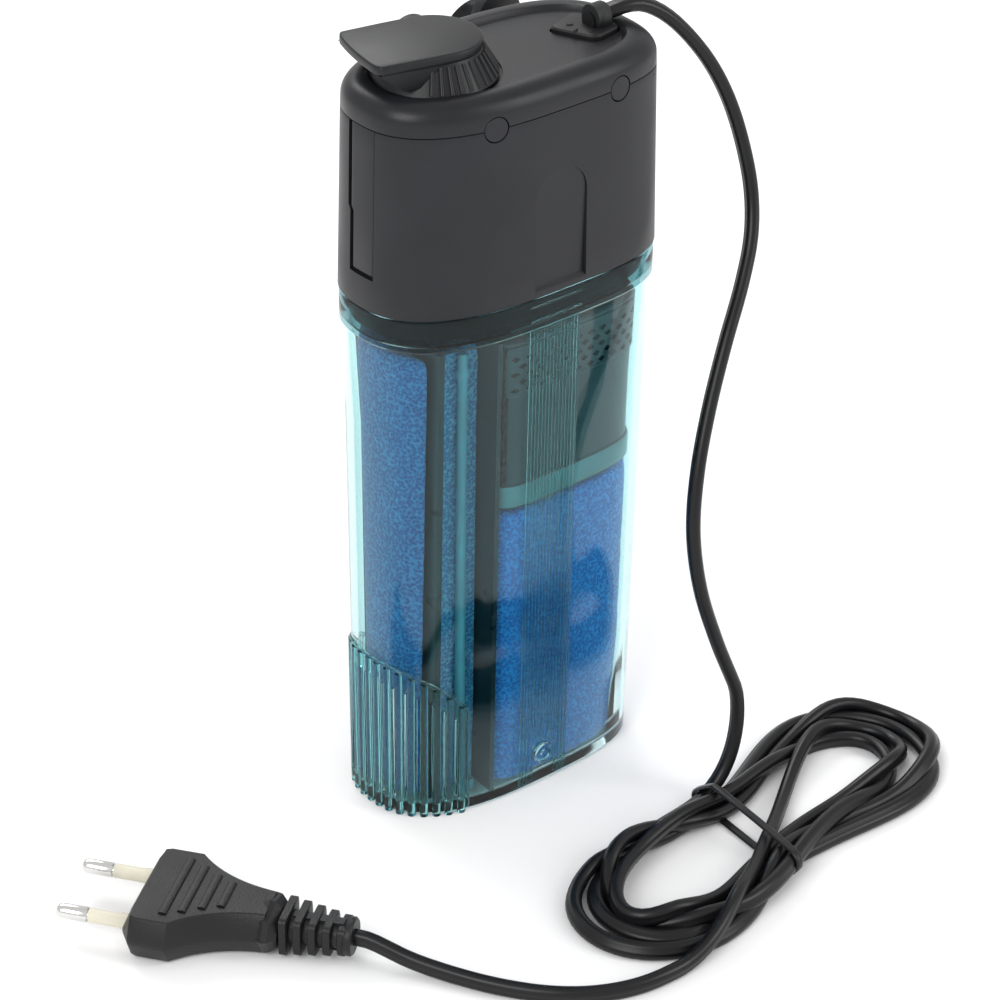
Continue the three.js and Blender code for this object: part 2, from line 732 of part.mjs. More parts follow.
// Mains lead: it arches off the lid, drops in front of the square end, lies in a hank and runs to the plug.
const upperRoute = [
  [leadExit.x + 1.3, leadExit.y, leadExit.z], [37, -4, 210.4], [43, -5.3, 209.8], [49.5, -7.6, 205.6],
  [55.4, -10, 199], [60.8, -12.6, 190.6], [64.9, -15.4, 180.5], [67.4, -18.6, 168.5], [67.8, -22, 157],
  [64.8, -26, 146.5], [58, -30.4, 136], [49, -35, 124.5], [40.2, -39.4, 110], [33.4, -43.4, 95],
  [30.2, -46.4, 80], [30.8, -49.4, 64], [35, -52.4, 47], [40, -55.6, 31], [41.2, -58.2, 20], [40.6, -60.4, 12.8],
];
const lowerRoute = [
  [4, -102.2, 2.3], [-8, -104.6, 2.3], [-22, -106.4, 2.3], [-36, -105.4, 2.3], [-47, -101, 2.3],
  [-56, -94, 2.3], [-64, -84, 2.3], [-70.5, -73.2, 2.6], [-76, -63.6, 3.8],
  [-79.6, -57.4, 5.8], [-81.9, -53.4, 6.85],
];

function leadTube(route, steps) {
  const section = new THREE.Shape();
  for (let corner = 0; corner < 8; corner += 1) {
    const angle = (Math.PI * corner) / 4;
    const x = leadRadius * Math.cos(angle);
    const y = leadRadius * Math.sin(angle);
    if (corner === 0) {
      section.moveTo(x, y);
    } else {
      section.lineTo(x, y);
    }
  }
  section.closePath();
  const extrudePath = new THREE.CatmullRomCurve3(route.map((point) => new THREE.Vector3(...point)));
  return solid(new THREE.ExtrudeGeometry(section, { steps, bevelEnabled: false, extrudePath }));
}

function hankOutline() {
  const [[x0, y0, r0], [x1, y1, r1]] = hankEnds;
  const turn = Math.atan2(y1 - y0, x1 - x0);
  const lean = Math.asin((r1 - r0) / Math.hypot(x1 - x0, y1 - y0));
  const shape = new THREE.Shape();
  shape.absarc(x1, y1, r1, turn - Math.PI / 2 - lean, turn + Math.PI / 2 + lean);
  shape.absarc(x0, y0, r0, turn + Math.PI / 2 + lean, turn + 1.5 * Math.PI - lean);
  shape.closePath();
  return shape;
}

const tieRoom = tieThickness + gap;

function leadHank() {
  return upright(hankOutline(), tieRoom, tieRoom + hankHeight);
}

function twistTie() {
  const [[x0, y0, r0], [x1, y1, r1]] = hankEnds;
  const half = (r0 + r1) / 2 + gap;
  const band = new THREE.BoxGeometry(tieWidth, 2 * (half + tieThickness), hankHeight + 2 * tieRoom);
  const room = new THREE.BoxGeometry(tieWidth + 2, 2 * half, hankHeight + 2 * gap);
  const ring = solid(band).subtract(solid(room));
  const turn = THREE.MathUtils.radToDeg(Math.atan2(y1 - y0, x1 - x0));
  return ring.rotate([0, 0, turn]).translate([(x0 + x1) / 2 - 4, (y0 + y1) / 2 - 0.4, hankHeight / 2 + tieRoom]);
}

// The plug lies flat. Its own axis runs forward along +X before it is turned into place.
function placePlug(manifold) {
  return manifold.rotate([0, 0, plugTurn]).translate([plugFront.x, plugFront.y, plugThickness / 2]);
}

function plugBody() {
  const half = plugWidth / 2;
  const waist = 8.5;
  const shape = new THREE.Shape();
  shape.moveTo(0, -half + 2);
  shape.lineTo(0, half - 2);
  shape.lineTo(-2, half);
  shape.lineTo(-11, half);
  shape.quadraticCurveTo(-22, half - 7, -plugLength, waist);
  shape.lineTo(-plugLength, -waist);
  shape.quadraticCurveTo(-22, -half + 7, -11, -half);
  shape.lineTo(-2, -half);
  shape.closePath();
  const body = upright(shape, -plugThickness / 2, plugThickness / 2);
  let rooms = null;
  for (const y of [-pinSpacing / 2, pinSpacing / 2]) {
    const room = axlePost(y, 0, -8, 1, pinRadius + 0.4, 16);
    rooms = rooms ? rooms.add(room) : room;
  }
  return placePlug(body.subtract(rooms));
}

function plugRelief() {
  const back = -plugLength - reliefLength;
  let relief = axlePost(0, 0, back, -plugLength - gap, 4.2, 16);
  const ringCount = 5;
  for (let number = 0; number < ringCount; number += 1) {
    const x = -plugLength - gap - 1.8 - number * 3.9;
    const size = 6.4 - number * 0.35;
    relief = relief.add(box(x - 1.2, x + 1.2, -size, size, -size + 0.4, size - 0.4));
  }
  return placePlug(relief.add(axlePost(0, 0, back, back + 1.6, 6.3, 16)));
}

function plugPin(side) {
  const shankRadius = pinRadius - 0.5;
  const tipStart = sleeveLength + gap;
  const points = [
    [0, -7.5], [shankRadius, -7.5], [shankRadius, tipStart], [pinRadius, tipStart],
    [pinRadius, pinLength - 1.2], [pinRadius * 0.45, pinLength], [0, pinLength],
  ];
  const geometry = new THREE.LatheGeometry(points.map(([r, along]) => new THREE.Vector2(r, along)), 16);
  geometry.rotateZ(-Math.PI / 2);
  geometry.translate(0, (side * pinSpacing) / 2, 0);
  return placePlug(solid(geometry));
}

function pinSleeve(side) {
  const y = (side * pinSpacing) / 2;
  const sleeve = axlePost(y, 0, 0.3, sleeveLength, pinRadius - 0.1, 16);
  return placePlug(sleeve.subtract(axlePost(y, 0, -1, sleeveLength + 1, pinRadius - 0.35, 16)));
}

add('head_casing', headCasing(), black, 0.45);
add('end_panel', endPanel(), black, 0.5);
add('head_lid', headLid(), black, 0.45);
lidPlugX.forEach((x, number) => {
  add(`lid_plug_front_${number + 1}`, lidPlug(x, -1), black, 0.5);
  add(`lid_plug_back_${number + 1}`, lidPlug(x, 1), black, 0.5);
});
add('cord_gland', cordGland(), black, 0.55);
add('cord_grommet', cordGrommet(), rubber, 0.7);
add('canister_seal', canisterSeal(), rubber, 0.8);
add('riser_duct', riserDuct(), 0x3a3d42, 0.5);
add('impeller_chamber', impellerChamber(), 0x3a3d42, 0.5);
add('impeller_cover', impellerCover(), 0x2c2e33, 0.5);
add('rotor_well', rotorWell(), 0x3a3d42, 0.5);
add('upper_bush', bush(upperBushTop - 3, upperBushTop), rubber, 0.7);
add('lower_bush', bush(headBottom + gap, lowerBushTop), rubber, 0.7);
add('rotor_shaft', rotorShaft(), 0xe8e6e0, 0.3);
add('stator_core', statorCore(), 0x6c6f73, 0.4, 0.9);
add('stator_coil', statorCoil(), 0x9a5a2c, 0.45, 0.6);
add('magnet_rotor', magnetRotor(), 0x44474b, 0.5, 0.3);
add('impeller', impeller(), 0xd9dcdd, 0.5);
add('outlet_nozzle', outletNozzle(), black, 0.45);
add('canister_shell', canisterShell(), 0x9fe0e6, 0.1, 0, clearTeal);
add('partition_left', partition(partitionX[0]), 0x14333b, 0.3);
add('partition_right', partition(partitionX[1]), 0x14333b, 0.3);
add('drain_plug', drainPlug(), 0xa8e6ea, 0.2, 0, clearTeal);
add('left_sponge', leftSponge(), 0x1d6fb5, 0.95);
add('middle_sponge', middleSponge(), 0x2f7fbe, 0.95);
add('pull_rod', pullRod(), 0x5aa0b4, 0.3);
add('carbon_case', carbonCase(), 0x2c4d57, 0.35);
add('carbon_case_lid', carbonLid(), 0x2c4d57, 0.35);
add('carbon_granules', carbonGranules(), 0x15171a, 0.95);
add('right_sponge', rightSponge(), 0x2583cc, 0.95);
add('wall_bracket', wallBracket(), black, 0.5);
add('suction_cup_left', suctionCup(earX[0]), rubber, 0.5);
add('suction_cup_right', suctionCup(earX[1]), rubber, 0.5);
add('lead_upper', leadTube(upperRoute, 28), rubber, 0.45);
add('lead_hank', leadHank(), rubber, 0.45);
add('lead_lower', leadTube(lowerRoute, 16), rubber, 0.45);
add('twist_tie', twistTie(), rubber, 0.5);
add('plug_body', plugBody(), rubber, 0.5);
add('plug_strain_relief', plugRelief(), rubber, 0.5);
add('plug_pin_left', plugPin(1), 0xc9ccd0, 0.2, 1);
add('plug_pin_right', plugPin(-1), 0xc9ccd0, 0.2, 1);
add('pin_sleeve_left', pinSleeve(1), 0xded9c8, 0.5);
add('pin_sleeve_right', pinSleeve(-1), 0xded9c8, 0.5);

export default filter;
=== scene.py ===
import math
import bmesh
import bpy
import numpy as np
from mathutils import Matrix, Vector


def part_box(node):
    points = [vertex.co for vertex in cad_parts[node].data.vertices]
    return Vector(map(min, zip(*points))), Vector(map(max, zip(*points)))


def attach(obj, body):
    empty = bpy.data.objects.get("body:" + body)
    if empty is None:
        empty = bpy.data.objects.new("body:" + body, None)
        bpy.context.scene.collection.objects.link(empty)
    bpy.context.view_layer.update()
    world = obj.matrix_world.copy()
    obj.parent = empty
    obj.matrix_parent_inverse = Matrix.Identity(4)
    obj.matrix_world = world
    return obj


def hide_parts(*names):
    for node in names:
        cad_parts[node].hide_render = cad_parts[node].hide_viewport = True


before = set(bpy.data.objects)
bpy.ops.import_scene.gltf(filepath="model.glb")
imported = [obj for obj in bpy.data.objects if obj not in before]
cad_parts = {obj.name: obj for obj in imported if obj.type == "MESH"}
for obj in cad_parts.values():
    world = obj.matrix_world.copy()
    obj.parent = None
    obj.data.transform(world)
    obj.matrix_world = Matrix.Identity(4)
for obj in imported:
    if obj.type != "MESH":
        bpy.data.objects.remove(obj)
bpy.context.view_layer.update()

mm = 0.001
for leftOver in ("Cube", "Light", "Camera"):  # from Blender's own start file
    if leftOver in bpy.data.objects:
        bpy.data.objects.remove(bpy.data.objects[leftOver])


# camera
cameraView = {
    "place": (-512, -617, 576),  # mm
    "yaw": -39.9,  # degrees round Z, 0 looks along +Y
    "pitch": 31.8,  # how far it looks down
    "roll": 0.9,
    "lens": 129.8,  # mm on a 36 mm sensor
}


def placeCamera(view):
    yaw, pitch, roll = (math.radians(view[key]) for key in ("yaw", "pitch", "roll"))
    back = Vector((
        math.sin(yaw) * math.cos(pitch),
        -math.cos(yaw) * math.cos(pitch),
        math.sin(pitch),
    ))
    right = (-back).cross(Vector((0, 0, 1))).normalized()
    up = back.cross(right)
    turnedRight = right * math.cos(roll) + up * math.sin(roll)
    turnedUp = up * math.cos(roll) - right * math.sin(roll)
    data = bpy.data.cameras.new("camera")
    data.lens = view["lens"]
    data.sensor_width = 36
    data.clip_start = 0.05
    camera = bpy.data.objects.new("camera", data)
    bpy.context.scene.collection.objects.link(camera)
    matrix = Matrix((turnedRight, turnedUp, back)).transposed().to_4x4()
    matrix.translation = Vector(view["place"]) * mm
    camera.matrix_world = matrix
    bpy.context.scene.camera = camera


placeCamera(cameraView)
bpy.context.scene.view_settings.view_transform = "Standard"


# mesh helpers, all in millimetres
def boxOf(node):
    low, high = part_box(node)
    return np.array(low) / mm, np.array(high) / mm


def meshObject(name, points, faces, smoothAngle=35):
    mesh = bpy.data.meshes.new(name)
    mesh.from_pydata([tuple(float(c) * mm for c in p) for p in points], [], faces)
    mesh.validate()
    mesh.update()
    thing = bpy.data.objects.new(name, mesh)
    bpy.context.scene.collection.objects.link(thing)
    smoothByAngle(thing, smoothAngle)
    return thing


def smoothByAngle(thing, angle=35):
    thing.data.shade_smooth()
    thing.data.set_sharp_from_angle(angle=math.radians(angle))


# faces between neighbouring rings of points, closed by caps or run round as a loop
def joinRings(rings, capStart=True, capEnd=True, loop=False):
    count = len(rings[0])
    points = [p for ring in rings for p in ring]
    faces = []
    spans = len(rings) if loop else len(rings) - 1
    for r in range(spans):
        a = r * count
        b = ((r + 1) % len(rings)) * count
        for i in range(count):
            j = (i + 1) % count
            faces.append((a + i, a + j, b + j, b + i))
    if capStart and not loop:
        faces.append(tuple(reversed(range(count))))
    if capEnd and not loop:
        last = (len(rings) - 1) * count
        faces.append(tuple(range(last, last + count)))
    return points, faces


def ringObject(name, rings, smoothAngle=35, **caps):
    points, faces = joinRings(rings, **caps)
    return meshObject(name, points, faces, smoothAngle)


def recalculate(thing):
    work = bmesh.new()
    work.from_mesh(thing.data)
    bmesh.ops.remove_doubles(work, verts=work.verts, dist=0.002 * mm)
    bmesh.ops.recalc_face_normals(work, faces=work.faces)
    work.to_mesh(thing.data)
    work.free()


# the evaluated mesh takes the place of the plain one, and the modifiers go
def settle(thing, smoothAngle=35):
    graph = bpy.context.evaluated_depsgraph_get()
    graph.update()
    mesh = bpy.data.meshes.new_from_object(thing.evaluated_get(graph), depsgraph=graph)
    mesh.name = thing.name
    old = thing.data
    thing.modifiers.clear()
    thing.data = mesh
    bpy.data.meshes.remove(old)
    smoothByAngle(thing, smoothAngle)
    return thing


def combine(thing, others, mode="DIFFERENCE", smoothAngle=35):
    for other in others:
        modifier = thing.modifiers.new("shape", "BOOLEAN")
        modifier.operation = mode
        modifier.solver = "EXACT"
        modifier.object = other
    settle(thing, smoothAngle)
    for other in others:
        bpy.data.objects.remove(other)
    return thing


def bevel(thing, width, segments=2, angle=35):
    modifier = thing.modifiers.new("edges", "BEVEL")
    modifier.width = width * mm
    modifier.segments = segments
    modifier.limit_method = "ANGLE"
    modifier.angle_limit = math.radians(angle)
    modifier.harden_normals = False
    return settle(thing, angle)


# a post on Z, or a ring of another shape, between two heights
def post(name, x, y, z0, z1, radius, topRadius=None, sides=64):
    top = radius if topRadius is None else topRadius
    turn = np.linspace(0, 2 * math.pi, sides, endpoint=False)
    ring = lambda r, z: np.c_[x + r * np.cos(turn), y + r * np.sin(turn), np.full(sides, z)]
    return ringObject(name, [ring(radius, z0), ring(top, z1)])


def crossPost(name, x, z, y0, y1, radius, sides=48):
    turn = np.linspace(0, 2 * math.pi, sides, endpoint=False)
    ring = lambda y: np.c_[x + radius * np.sin(turn), np.full(sides, y), z + radius * np.cos(turn)]
    return ringObject(name, [ring(y0), ring(y1)])


def boxObject(name, low, high):
    (x0, y0, z0), (x1, y1, z1) = low, high
    ring = lambda z: [(x0, y0, z), (x1, y0, z), (x1, y1, z), (x0, y1, z)]
    return ringObject(name, [ring(z0), ring(z1)])


# a turned piece: its profile is radius and height along an axis direction through a centre
def turned(name, profile, centre, axis, sides=64, smoothAngle=35):
    axis = Vector(axis).normalized()
    side = axis.orthogonal().normalized()
    other = axis.cross(side)
    rings = []
    for radius, along in profile:
        ring = []
        for i in range(sides):
            turn = 2 * math.pi * i / sides
            out = side * math.cos(turn) + other * math.sin(turn)
            ring.append(Vector(centre) + axis * along + out * radius)
        rings.append(ring)
    return ringObject(name, rings, smoothAngle)


# the body's outline from above, rounder at the outlet end than at the lead's end
planShape = {
    "roundEnd": 2.5,
    "frontCorner": 3.8,
    "backCorner": 2.7,
    "points": 264,
}


def planRadius(turn, halfLength, halfDepth):
    c, s = np.cos(turn), np.sin(turn)
    corner = np.where(s < 0, planShape["frontCorner"], planShape["backCorner"])
    power = np.where(c < 0, planShape["roundEnd"], corner)
    return ((abs(c) / halfLength) ** power + (abs(s) / halfDepth) ** power) ** (-1 / power)


def evenTurns(halfLength, halfDepth, count):
    turn = np.linspace(-math.pi, math.pi, 8001)
    r = planRadius(turn, halfLength, halfDepth)
    steps = np.hypot(np.diff(r * np.cos(turn)), np.diff(r * np.sin(turn)))
    along = np.r_[0, np.cumsum(steps)]
    return np.interp(np.linspace(0, along[-1], count, endpoint=False), along, turn)


canisterLow, canisterHigh = boxOf("canister_shell")
lidLow, lidHigh = boxOf("head_lid")
bodyHalfLength = -canisterLow[0]
bodyHalfDepth = 24.3
canisterTop = canisterHigh[2]
headBottom = round(canisterTop)
seam = round(lidLow[2], 1)
lidTop = lidHigh[2]
planTurns = evenTurns(bodyHalfLength, bodyHalfDepth, planShape["points"])


def planRing(halfLength, halfDepth, z, turns=planTurns):
    r = planRadius(turns, halfLength, halfDepth)
    return np.c_[r * np.cos(turns), r * np.sin(turns), np.full(len(turns), z)]


# how far from the middle line the outline lies at x, in front (side -1) or behind (side 1)
def outlineY(x, halfLength, halfDepth, side=-1):
    corner = planShape["frontCorner"] if side < 0 else planShape["backCorner"]
    power = np.where(np.asarray(x) < 0, planShape["roundEnd"], corner)
    return side * halfDepth * np.clip(1 - (abs(np.asarray(x)) / halfLength) ** power, 0, 1) ** (1 / power)


def outlineX(y, halfLength, halfDepth):
    power = planShape["roundEnd"]
    return -halfLength * (1 - (abs(np.asarray(y)) / halfDepth) ** power) ** (1 / power)


# half sizes of the head's outside at a height
def headHalf(z, inset=0.0):
    draft = (z - headBottom) / (seam - headBottom)
    return bodyHalfLength + 0.2 - draft - inset, bodyHalfDepth + 0.2 - draft - inset


collar = {"height": 8.5, "lip": 0.9, "taper": 0.95}
collarBottom = headBottom - collar["height"]


# half sizes of the canister below its collar
def canisterHalf(z, inset=0.0):
    share = collar["taper"] + (1 - collar["taper"]) * z / collarBottom
    return (bodyHalfLength - collar["lip"]) * share - inset, (bodyHalfDepth - collar["lip"]) * share - inset


print("frame and helpers ready")


# mains lead: flat twin cable, off the lid, down in front of the square end,
# four turns round the hank, and on to the plug
lead = {
    "width": 4.8,
    "thickness": 3.7,
    "waist": 0.22,  # how far the groove between the cores draws the sides in
    "step": 2.4,  # along the cable
    "easeStep": 5,
    "strandGap": 4.4,  # between the middles of strands that touch
    "loops": 4,
    "hankLeft": (-8, -82.5),
    "hankRight": (71, -69.5),
}
leadExit = (31.4, -3, 209.4)
upperRoute = [
    (32.7, -3, 209.4), (37, -4, 210.4), (43, -5.3, 209.8), (49.5, -7.6, 205.6), (55.4, -10, 199),
    (60.8, -12.6, 190.6), (64.9, -15.4, 180.5), (67.4, -18.6, 168.5), (67.8, -22, 157), (64.8, -26, 146.5),
    (58, -30.4, 136), (49, -35, 124.5), (40.2, -39.4, 110), (33.4, -43.4, 95), (30.2, -46.4, 80),
    (30.8, -49.4, 64), (35, -52.4, 47), (40, -55.6, 31), (41.2, -58, 21),
]
lowerRoute = [
    (13, -99.9, 2.3), (4, -102.2, 2.3), (-8, -104.6, 2.3), (-22, -106.4, 2.3), (-36, -105.4, 2.3),
    (-47, -101, 2.3), (-56, -94, 2.3), (-64, -84, 2.3), (-70.5, -73.2, 2.6), (-76, -63.6, 3.8),
    (-79.6, -57.4, 5.8), (-81.9, -53.4, 6.85),
]


def smoothPath(points, spacing):
    points = np.array(points, float)
    before = 2 * points[0] - points[1]
    after = 2 * points[-1] - points[-2]
    padded = np.vstack([before, points, after])
    fine = []
    for p0, p1, p2, p3 in zip(padded, padded[1:], padded[2:], padded[3:]):
        # centripetal spans keep close points from looping
        t1 = max(np.linalg.norm(p1 - p0), 1e-6) ** 0.5
        t2 = t1 + max(np.linalg.norm(p2 - p1), 1e-6) ** 0.5
        t3 = t2 + max(np.linalg.norm(p3 - p2), 1e-6) ** 0.5
        for t in np.linspace(t1, t2, 16, endpoint=False):
            a1 = (t1 - t) / t1 * p0 + t / t1 * p1
            a2 = (t2 - t) / (t2 - t1) * p1 + (t - t1) / (t2 - t1) * p2
            a3 = (t3 - t) / (t3 - t2) * p2 + (t - t2) / (t3 - t2) * p3
            b1 = (t2 - t) / t2 * a1 + t / t2 * a2
            b2 = (t3 - t) / (t3 - t1) * a2 + (t - t1) / (t3 - t1) * a3
            fine.append((t2 - t) / (t2 - t1) * b1 + (t - t1) / (t2 - t1) * b2)
    fine.append(points[-1])
    return evenPath(np.array(fine), spacing)


def evenPath(points, spacing):
    along = np.r_[0, np.cumsum(np.linalg.norm(np.diff(points, axis=0), axis=1))]
    count = max(2, int(round(along[-1] / spacing)) + 1)
    where = np.linspace(0, along[-1], count)
    return np.stack([np.interp(where, along, points[:, k]) for k in range(3)], axis=1)


# the hank's own axes: along runs from its left fold to its right one, across points away from the viewer
hankStart, hankEnd = (np.array(lead[key], float) for key in ("hankLeft", "hankRight"))
hankMiddle = (hankStart + hankEnd) / 2
hankAlong = (hankEnd - hankStart) / np.linalg.norm(hankEnd - hankStart)
hankAcross = np.array((-hankAlong[1], hankAlong[0]))
hankHalf = np.linalg.norm(hankEnd - hankStart) / 2


def hankPoint(along, across, z):
    place = hankMiddle + hankAlong * along + hankAcross * across
    return (place[0], place[1], z)


# one turn of the hank: round the left fold, under or over the tie, round the right fold and back
def hankTurn(number):
    reach = (1.0, 6.5, -4.0, 3.0)[number]
    lift = (0.0, 0.6, 4.2, 4.8)[number]
    left, right = (20.5, 24, 22, 18.5)[number], (25.5, 23, 20.5, 18.5)[number]
    pinch = (13.2, 8.6, 11, 4.2)[number]
    tieAt = -4
    points = []
    for turn in range(90, 271, 20):  # left fold, far side to near side
        a = math.radians(turn)
        x = -hankHalf - reach * 0.8 + left * math.cos(a)
        points.append(hankPoint(x, left * math.sin(a) * 1.05, 2.3 + lift * 0.75))
    points.append(hankPoint(-26, -left * 0.78, 2.3 + lift))
    points.append(hankPoint(tieAt, -pinch, 2.5 + lift))
    points.append(hankPoint(22, -pinch * 0.5 - right * 0.38, 2.4 + lift))
    for turn in range(-90, 91, 20):  # right fold, near side to far side
        a = math.radians(turn)
        x = hankHalf + reach + right * math.cos(a)
        points.append(hankPoint(x, right * math.sin(a) * 1.02, 2.3 + lift * 0.8))
    points.append(hankPoint(22, pinch * 0.5 + right * 0.4, 2.5 + lift))
    points.append(hankPoint(tieAt, pinch, 2.6 + lift))
    points.append(hankPoint(-26, left * 0.8, 2.5 + lift))
    return points


def leadRoute():
    points = list(upperRoute)
    points += [(38.6, -60.6, 12), (31, -62.4, 5.6), (20, -63.2, 3), (4, -62, 2.4)]
    for number in range(lead["loops"]):
        turn = hankTurn(number)
        if number == lead["loops"] - 1:
            turn = turn[:-3]
        points += turn
    points += [hankPoint(22, 7, 10.6), hankPoint(6, -1, 12.6), hankPoint(-8, -10.5, 11.2), (14, -93.5, 5.6)]
    points += [(5, -99.6, 2.7)] + lowerRoute[2:]
    points.append((-84.4, -49.5, 6.85))  # the last of it is inside the plug's relief
    return smoothPath(points, lead["easeStep"])


# strands that run into each other are eased apart, and the floor holds them up
def easeApart(path, first, last, rounds=480):
    path = path.copy()
    count = len(path)
    index = np.arange(count)
    apart = abs(index[:, None] - index[None, :]) > 5
    free = ((index > first) & (index < last)).astype(float)
    ramp = np.clip((index - first) / 5, 0, 1) * np.clip((last - index) / 5, 0, 1)
    lowest = lead["thickness"] / 2 + 0.4
    for _ in range(rounds):
        offset = path[:, None, :] - path[None, :, :]
        offset[:, :, 2] *= 1.18  # the cable is thinner than it is wide
        distance = np.linalg.norm(offset, axis=2) + 1e-9
        push = np.where(apart & (distance < lead["strandGap"]), lead["strandGap"] - distance, 0)
        direction = offset / distance[:, :, None]
        direction[:, :, 2] += 0.8 * np.sign(index[:, None] - index[None, :])  # later strands lie on top
        move = (direction * (push * 0.36)[:, :, None]).sum(axis=1)
        bend = np.zeros_like(path)
        bend[2:-2] = (-path[:-4] + 4 * path[1:-3] - 6 * path[2:-2] + 4 * path[3:-1] - path[4:]) * 0.06
        stretch = np.zeros_like(path)
        stretch[1:-1] = (path[:-2] + path[2:] - 2 * path[1:-1]) * 0.01
        sink = np.zeros_like(path)
        sink[:, 2] = -0.02
        path += (move + bend + stretch + sink) * (free * ramp)[:, None]
        path[:, 2] = np.maximum(path[:, 2], np.where(free > 0, lowest, path[:, 2]))
    return path


def leadPath():
    path = leadRoute()
    first = int(np.argmin(np.linalg.norm(path - np.array(upperRoute[-2]), axis=1)))
    last = len(path) - 1 - int(np.argmin(np.linalg.norm(path[::-1] - np.array(lowerRoute[3]), axis=1)))
    eased = easeApart(path, first, last)
    return smoothPath(eased, lead["step"])


def leadSection(turns):
    half, thin = lead["width"] / 2, lead["thickness"] / 2
    power = 2.3
    r = ((abs(np.cos(turns)) / half) ** power + (abs(np.sin(turns)) / thin) ** power) ** (-1 / power)
    groove = 1 - lead["waist"] * np.exp(-((abs(np.sin(turns)) - 1) / 0.012) ** 2 * 0.5) * 0.6
    return r * groove * np.cos(turns), r * groove * np.sin(turns)


def sweep(name, path, across, up, wide=None):
    tangent = np.gradient(path, axis=0)
    tangent /= np.linalg.norm(tangent, axis=1)[:, None]
    wide = np.array(wide if wide is not None else (0, 1, 0), float)
    rings = []
    for place, ahead in zip(path, tangent):
        wide = wide - ahead * np.dot(wide, ahead)
        wide /= np.linalg.norm(wide)
        high = np.cross(ahead, wide)
        rings.append(place + np.outer(across, wide) + np.outer(up, high))
    return ringObject(name, rings, 50)


leadLine = leadPath()
across, up = leadSection(np.linspace(0, 2 * math.pi, 20, endpoint=False))
leadPiece = sweep("mains_lead", leadLine, across, up)


# finishes: each is one procedural material on object coordinates
def newMaterial(name, colour, roughness, **sockets):
    material = bpy.data.materials.new(name)
    material.use_nodes = True
    shader = material.node_tree.nodes["Principled BSDF"]
    shader.inputs["Base Color"].default_value = (*colour, 1)
    shader.inputs["Roughness"].default_value = roughness
    for socket, value in sockets.items():
        shader.inputs[socket.replace("_", " ")].default_value = value
    return material


def pattern(material, kind, scale, stretch=(1, 1, 1), **settings):
    nodes, links = material.node_tree.nodes, material.node_tree.links
    place = nodes.new("ShaderNodeTexCoord")
    mapping = nodes.new("ShaderNodeMapping")
    mapping.inputs["Scale"].default_value = stretch
    texture = nodes.new("ShaderNodeTex" + kind)
    texture.inputs["Scale"].default_value = scale
    for name, value in settings.items():
        if name in texture.inputs:
            texture.inputs[name].default_value = value
        else:
            setattr(texture, name, value)
    links.new(place.outputs["Object"], mapping.inputs["Vector"])
    links.new(mapping.outputs["Vector"], texture.inputs["Vector"])
    return texture.outputs["Distance"] if kind == "Voronoi" else texture.outputs[-1 if kind == "Wave" else 0]


def addBump(material, height, strength, distance):
    nodes, links = material.node_tree.nodes, material.node_tree.links
    shader = nodes["Principled BSDF"]
    bump = nodes.new("ShaderNodeBump")
    bump.inputs["Strength"].default_value = strength
    bump.inputs["Distance"].default_value = distance * mm
    links.new(height, bump.inputs["Height"])
    if shader.inputs["Normal"].is_linked:
        links.new(shader.inputs["Normal"].links[0].from_socket, bump.inputs["Normal"])
    links.new(bump.outputs["Normal"], shader.inputs["Normal"])


# colours (red, green, blue) at their places along the pattern's value
def addTints(material, value, stops):
    nodes, links = material.node_tree.nodes, material.node_tree.links
    ramp = nodes.new("ShaderNodeValToRGB")
    while len(ramp.color_ramp.elements) < len(stops):
        ramp.color_ramp.elements.new(0.5)
    for element, (place, colour) in zip(ramp.color_ramp.elements, stops):
        element.position = place
        element.color = (*colour, 1)
    links.new(value, ramp.inputs["Fac"])
    links.new(ramp.outputs["Color"], nodes["Principled BSDF"].inputs["Base Color"])


def addRoughness(material, value, low, high):
    nodes, links = material.node_tree.nodes, material.node_tree.links
    span = nodes.new("ShaderNodeMapRange")
    span.inputs["From Min"].default_value = 0.3
    span.inputs["From Max"].default_value = 0.7
    span.inputs["To Min"].default_value = low
    span.inputs["To Max"].default_value = high
    links.new(value, span.inputs["Value"])
    links.new(span.outputs["Result"], nodes["Principled BSDF"].inputs["Roughness"])


def shade(colour, share):
    return tuple(c * share for c in colour)


# spark-textured moulded plastic: fine grain, slight patches of colour and gloss
def mouldedPlastic(name, colour, roughness, grain=0.35, depth=0.05, strength=0.5):
    material = newMaterial(name, colour, roughness, Specular_IOR_Level=0.3)
    addBump(material, pattern(material, "Noise", 1000 / grain, Detail=3.0), strength, depth)
    patches = pattern(material, "Noise", 70, Detail=4.0)
    addTints(material, patches, [(0.3, shade(colour, 0.84)), (0.7, shade(colour, 1.14))])
    addRoughness(material, patches, roughness - 0.04, roughness + 0.05)
    return material


def clearPlastic(name, colour, roughness, ripple=0.25):
    material = newMaterial(name, colour, roughness, IOR=1.32, Transmission_Weight=1.0)
    waves = pattern(material, "Noise", 45, stretch=(1, 1, 0.25), Detail=1.5)
    addBump(material, waves, ripple, 0.25)
    tint = pattern(material, "Noise", 25, Detail=2.0)
    addTints(material, tint, [(0.3, shade(colour, 0.96)), (0.7, shade(colour, 1.03))])
    return material


# open-cell foam: round cells with a bump, their middles darkened as painted shade in the pits and their rims
# lightened as painted highlights
def foam(name, deep, pale, cell=0.85):
    material = newMaterial(name, deep, 0.95, Sheen_Weight=0.25, Sheen_Roughness=0.6)
    cells = pattern(material, "Voronoi", 1000 / cell, Randomness=1.0)
    addBump(material, cells, 0.7, 0.35)
    # painted shade in the cell pits, the sponge's blue between, painted highlights at the rims
    addTints(material, cells, [(0.05, shade(deep, 0.7)), (0.42, deep), (0.75, pale)])
    return material


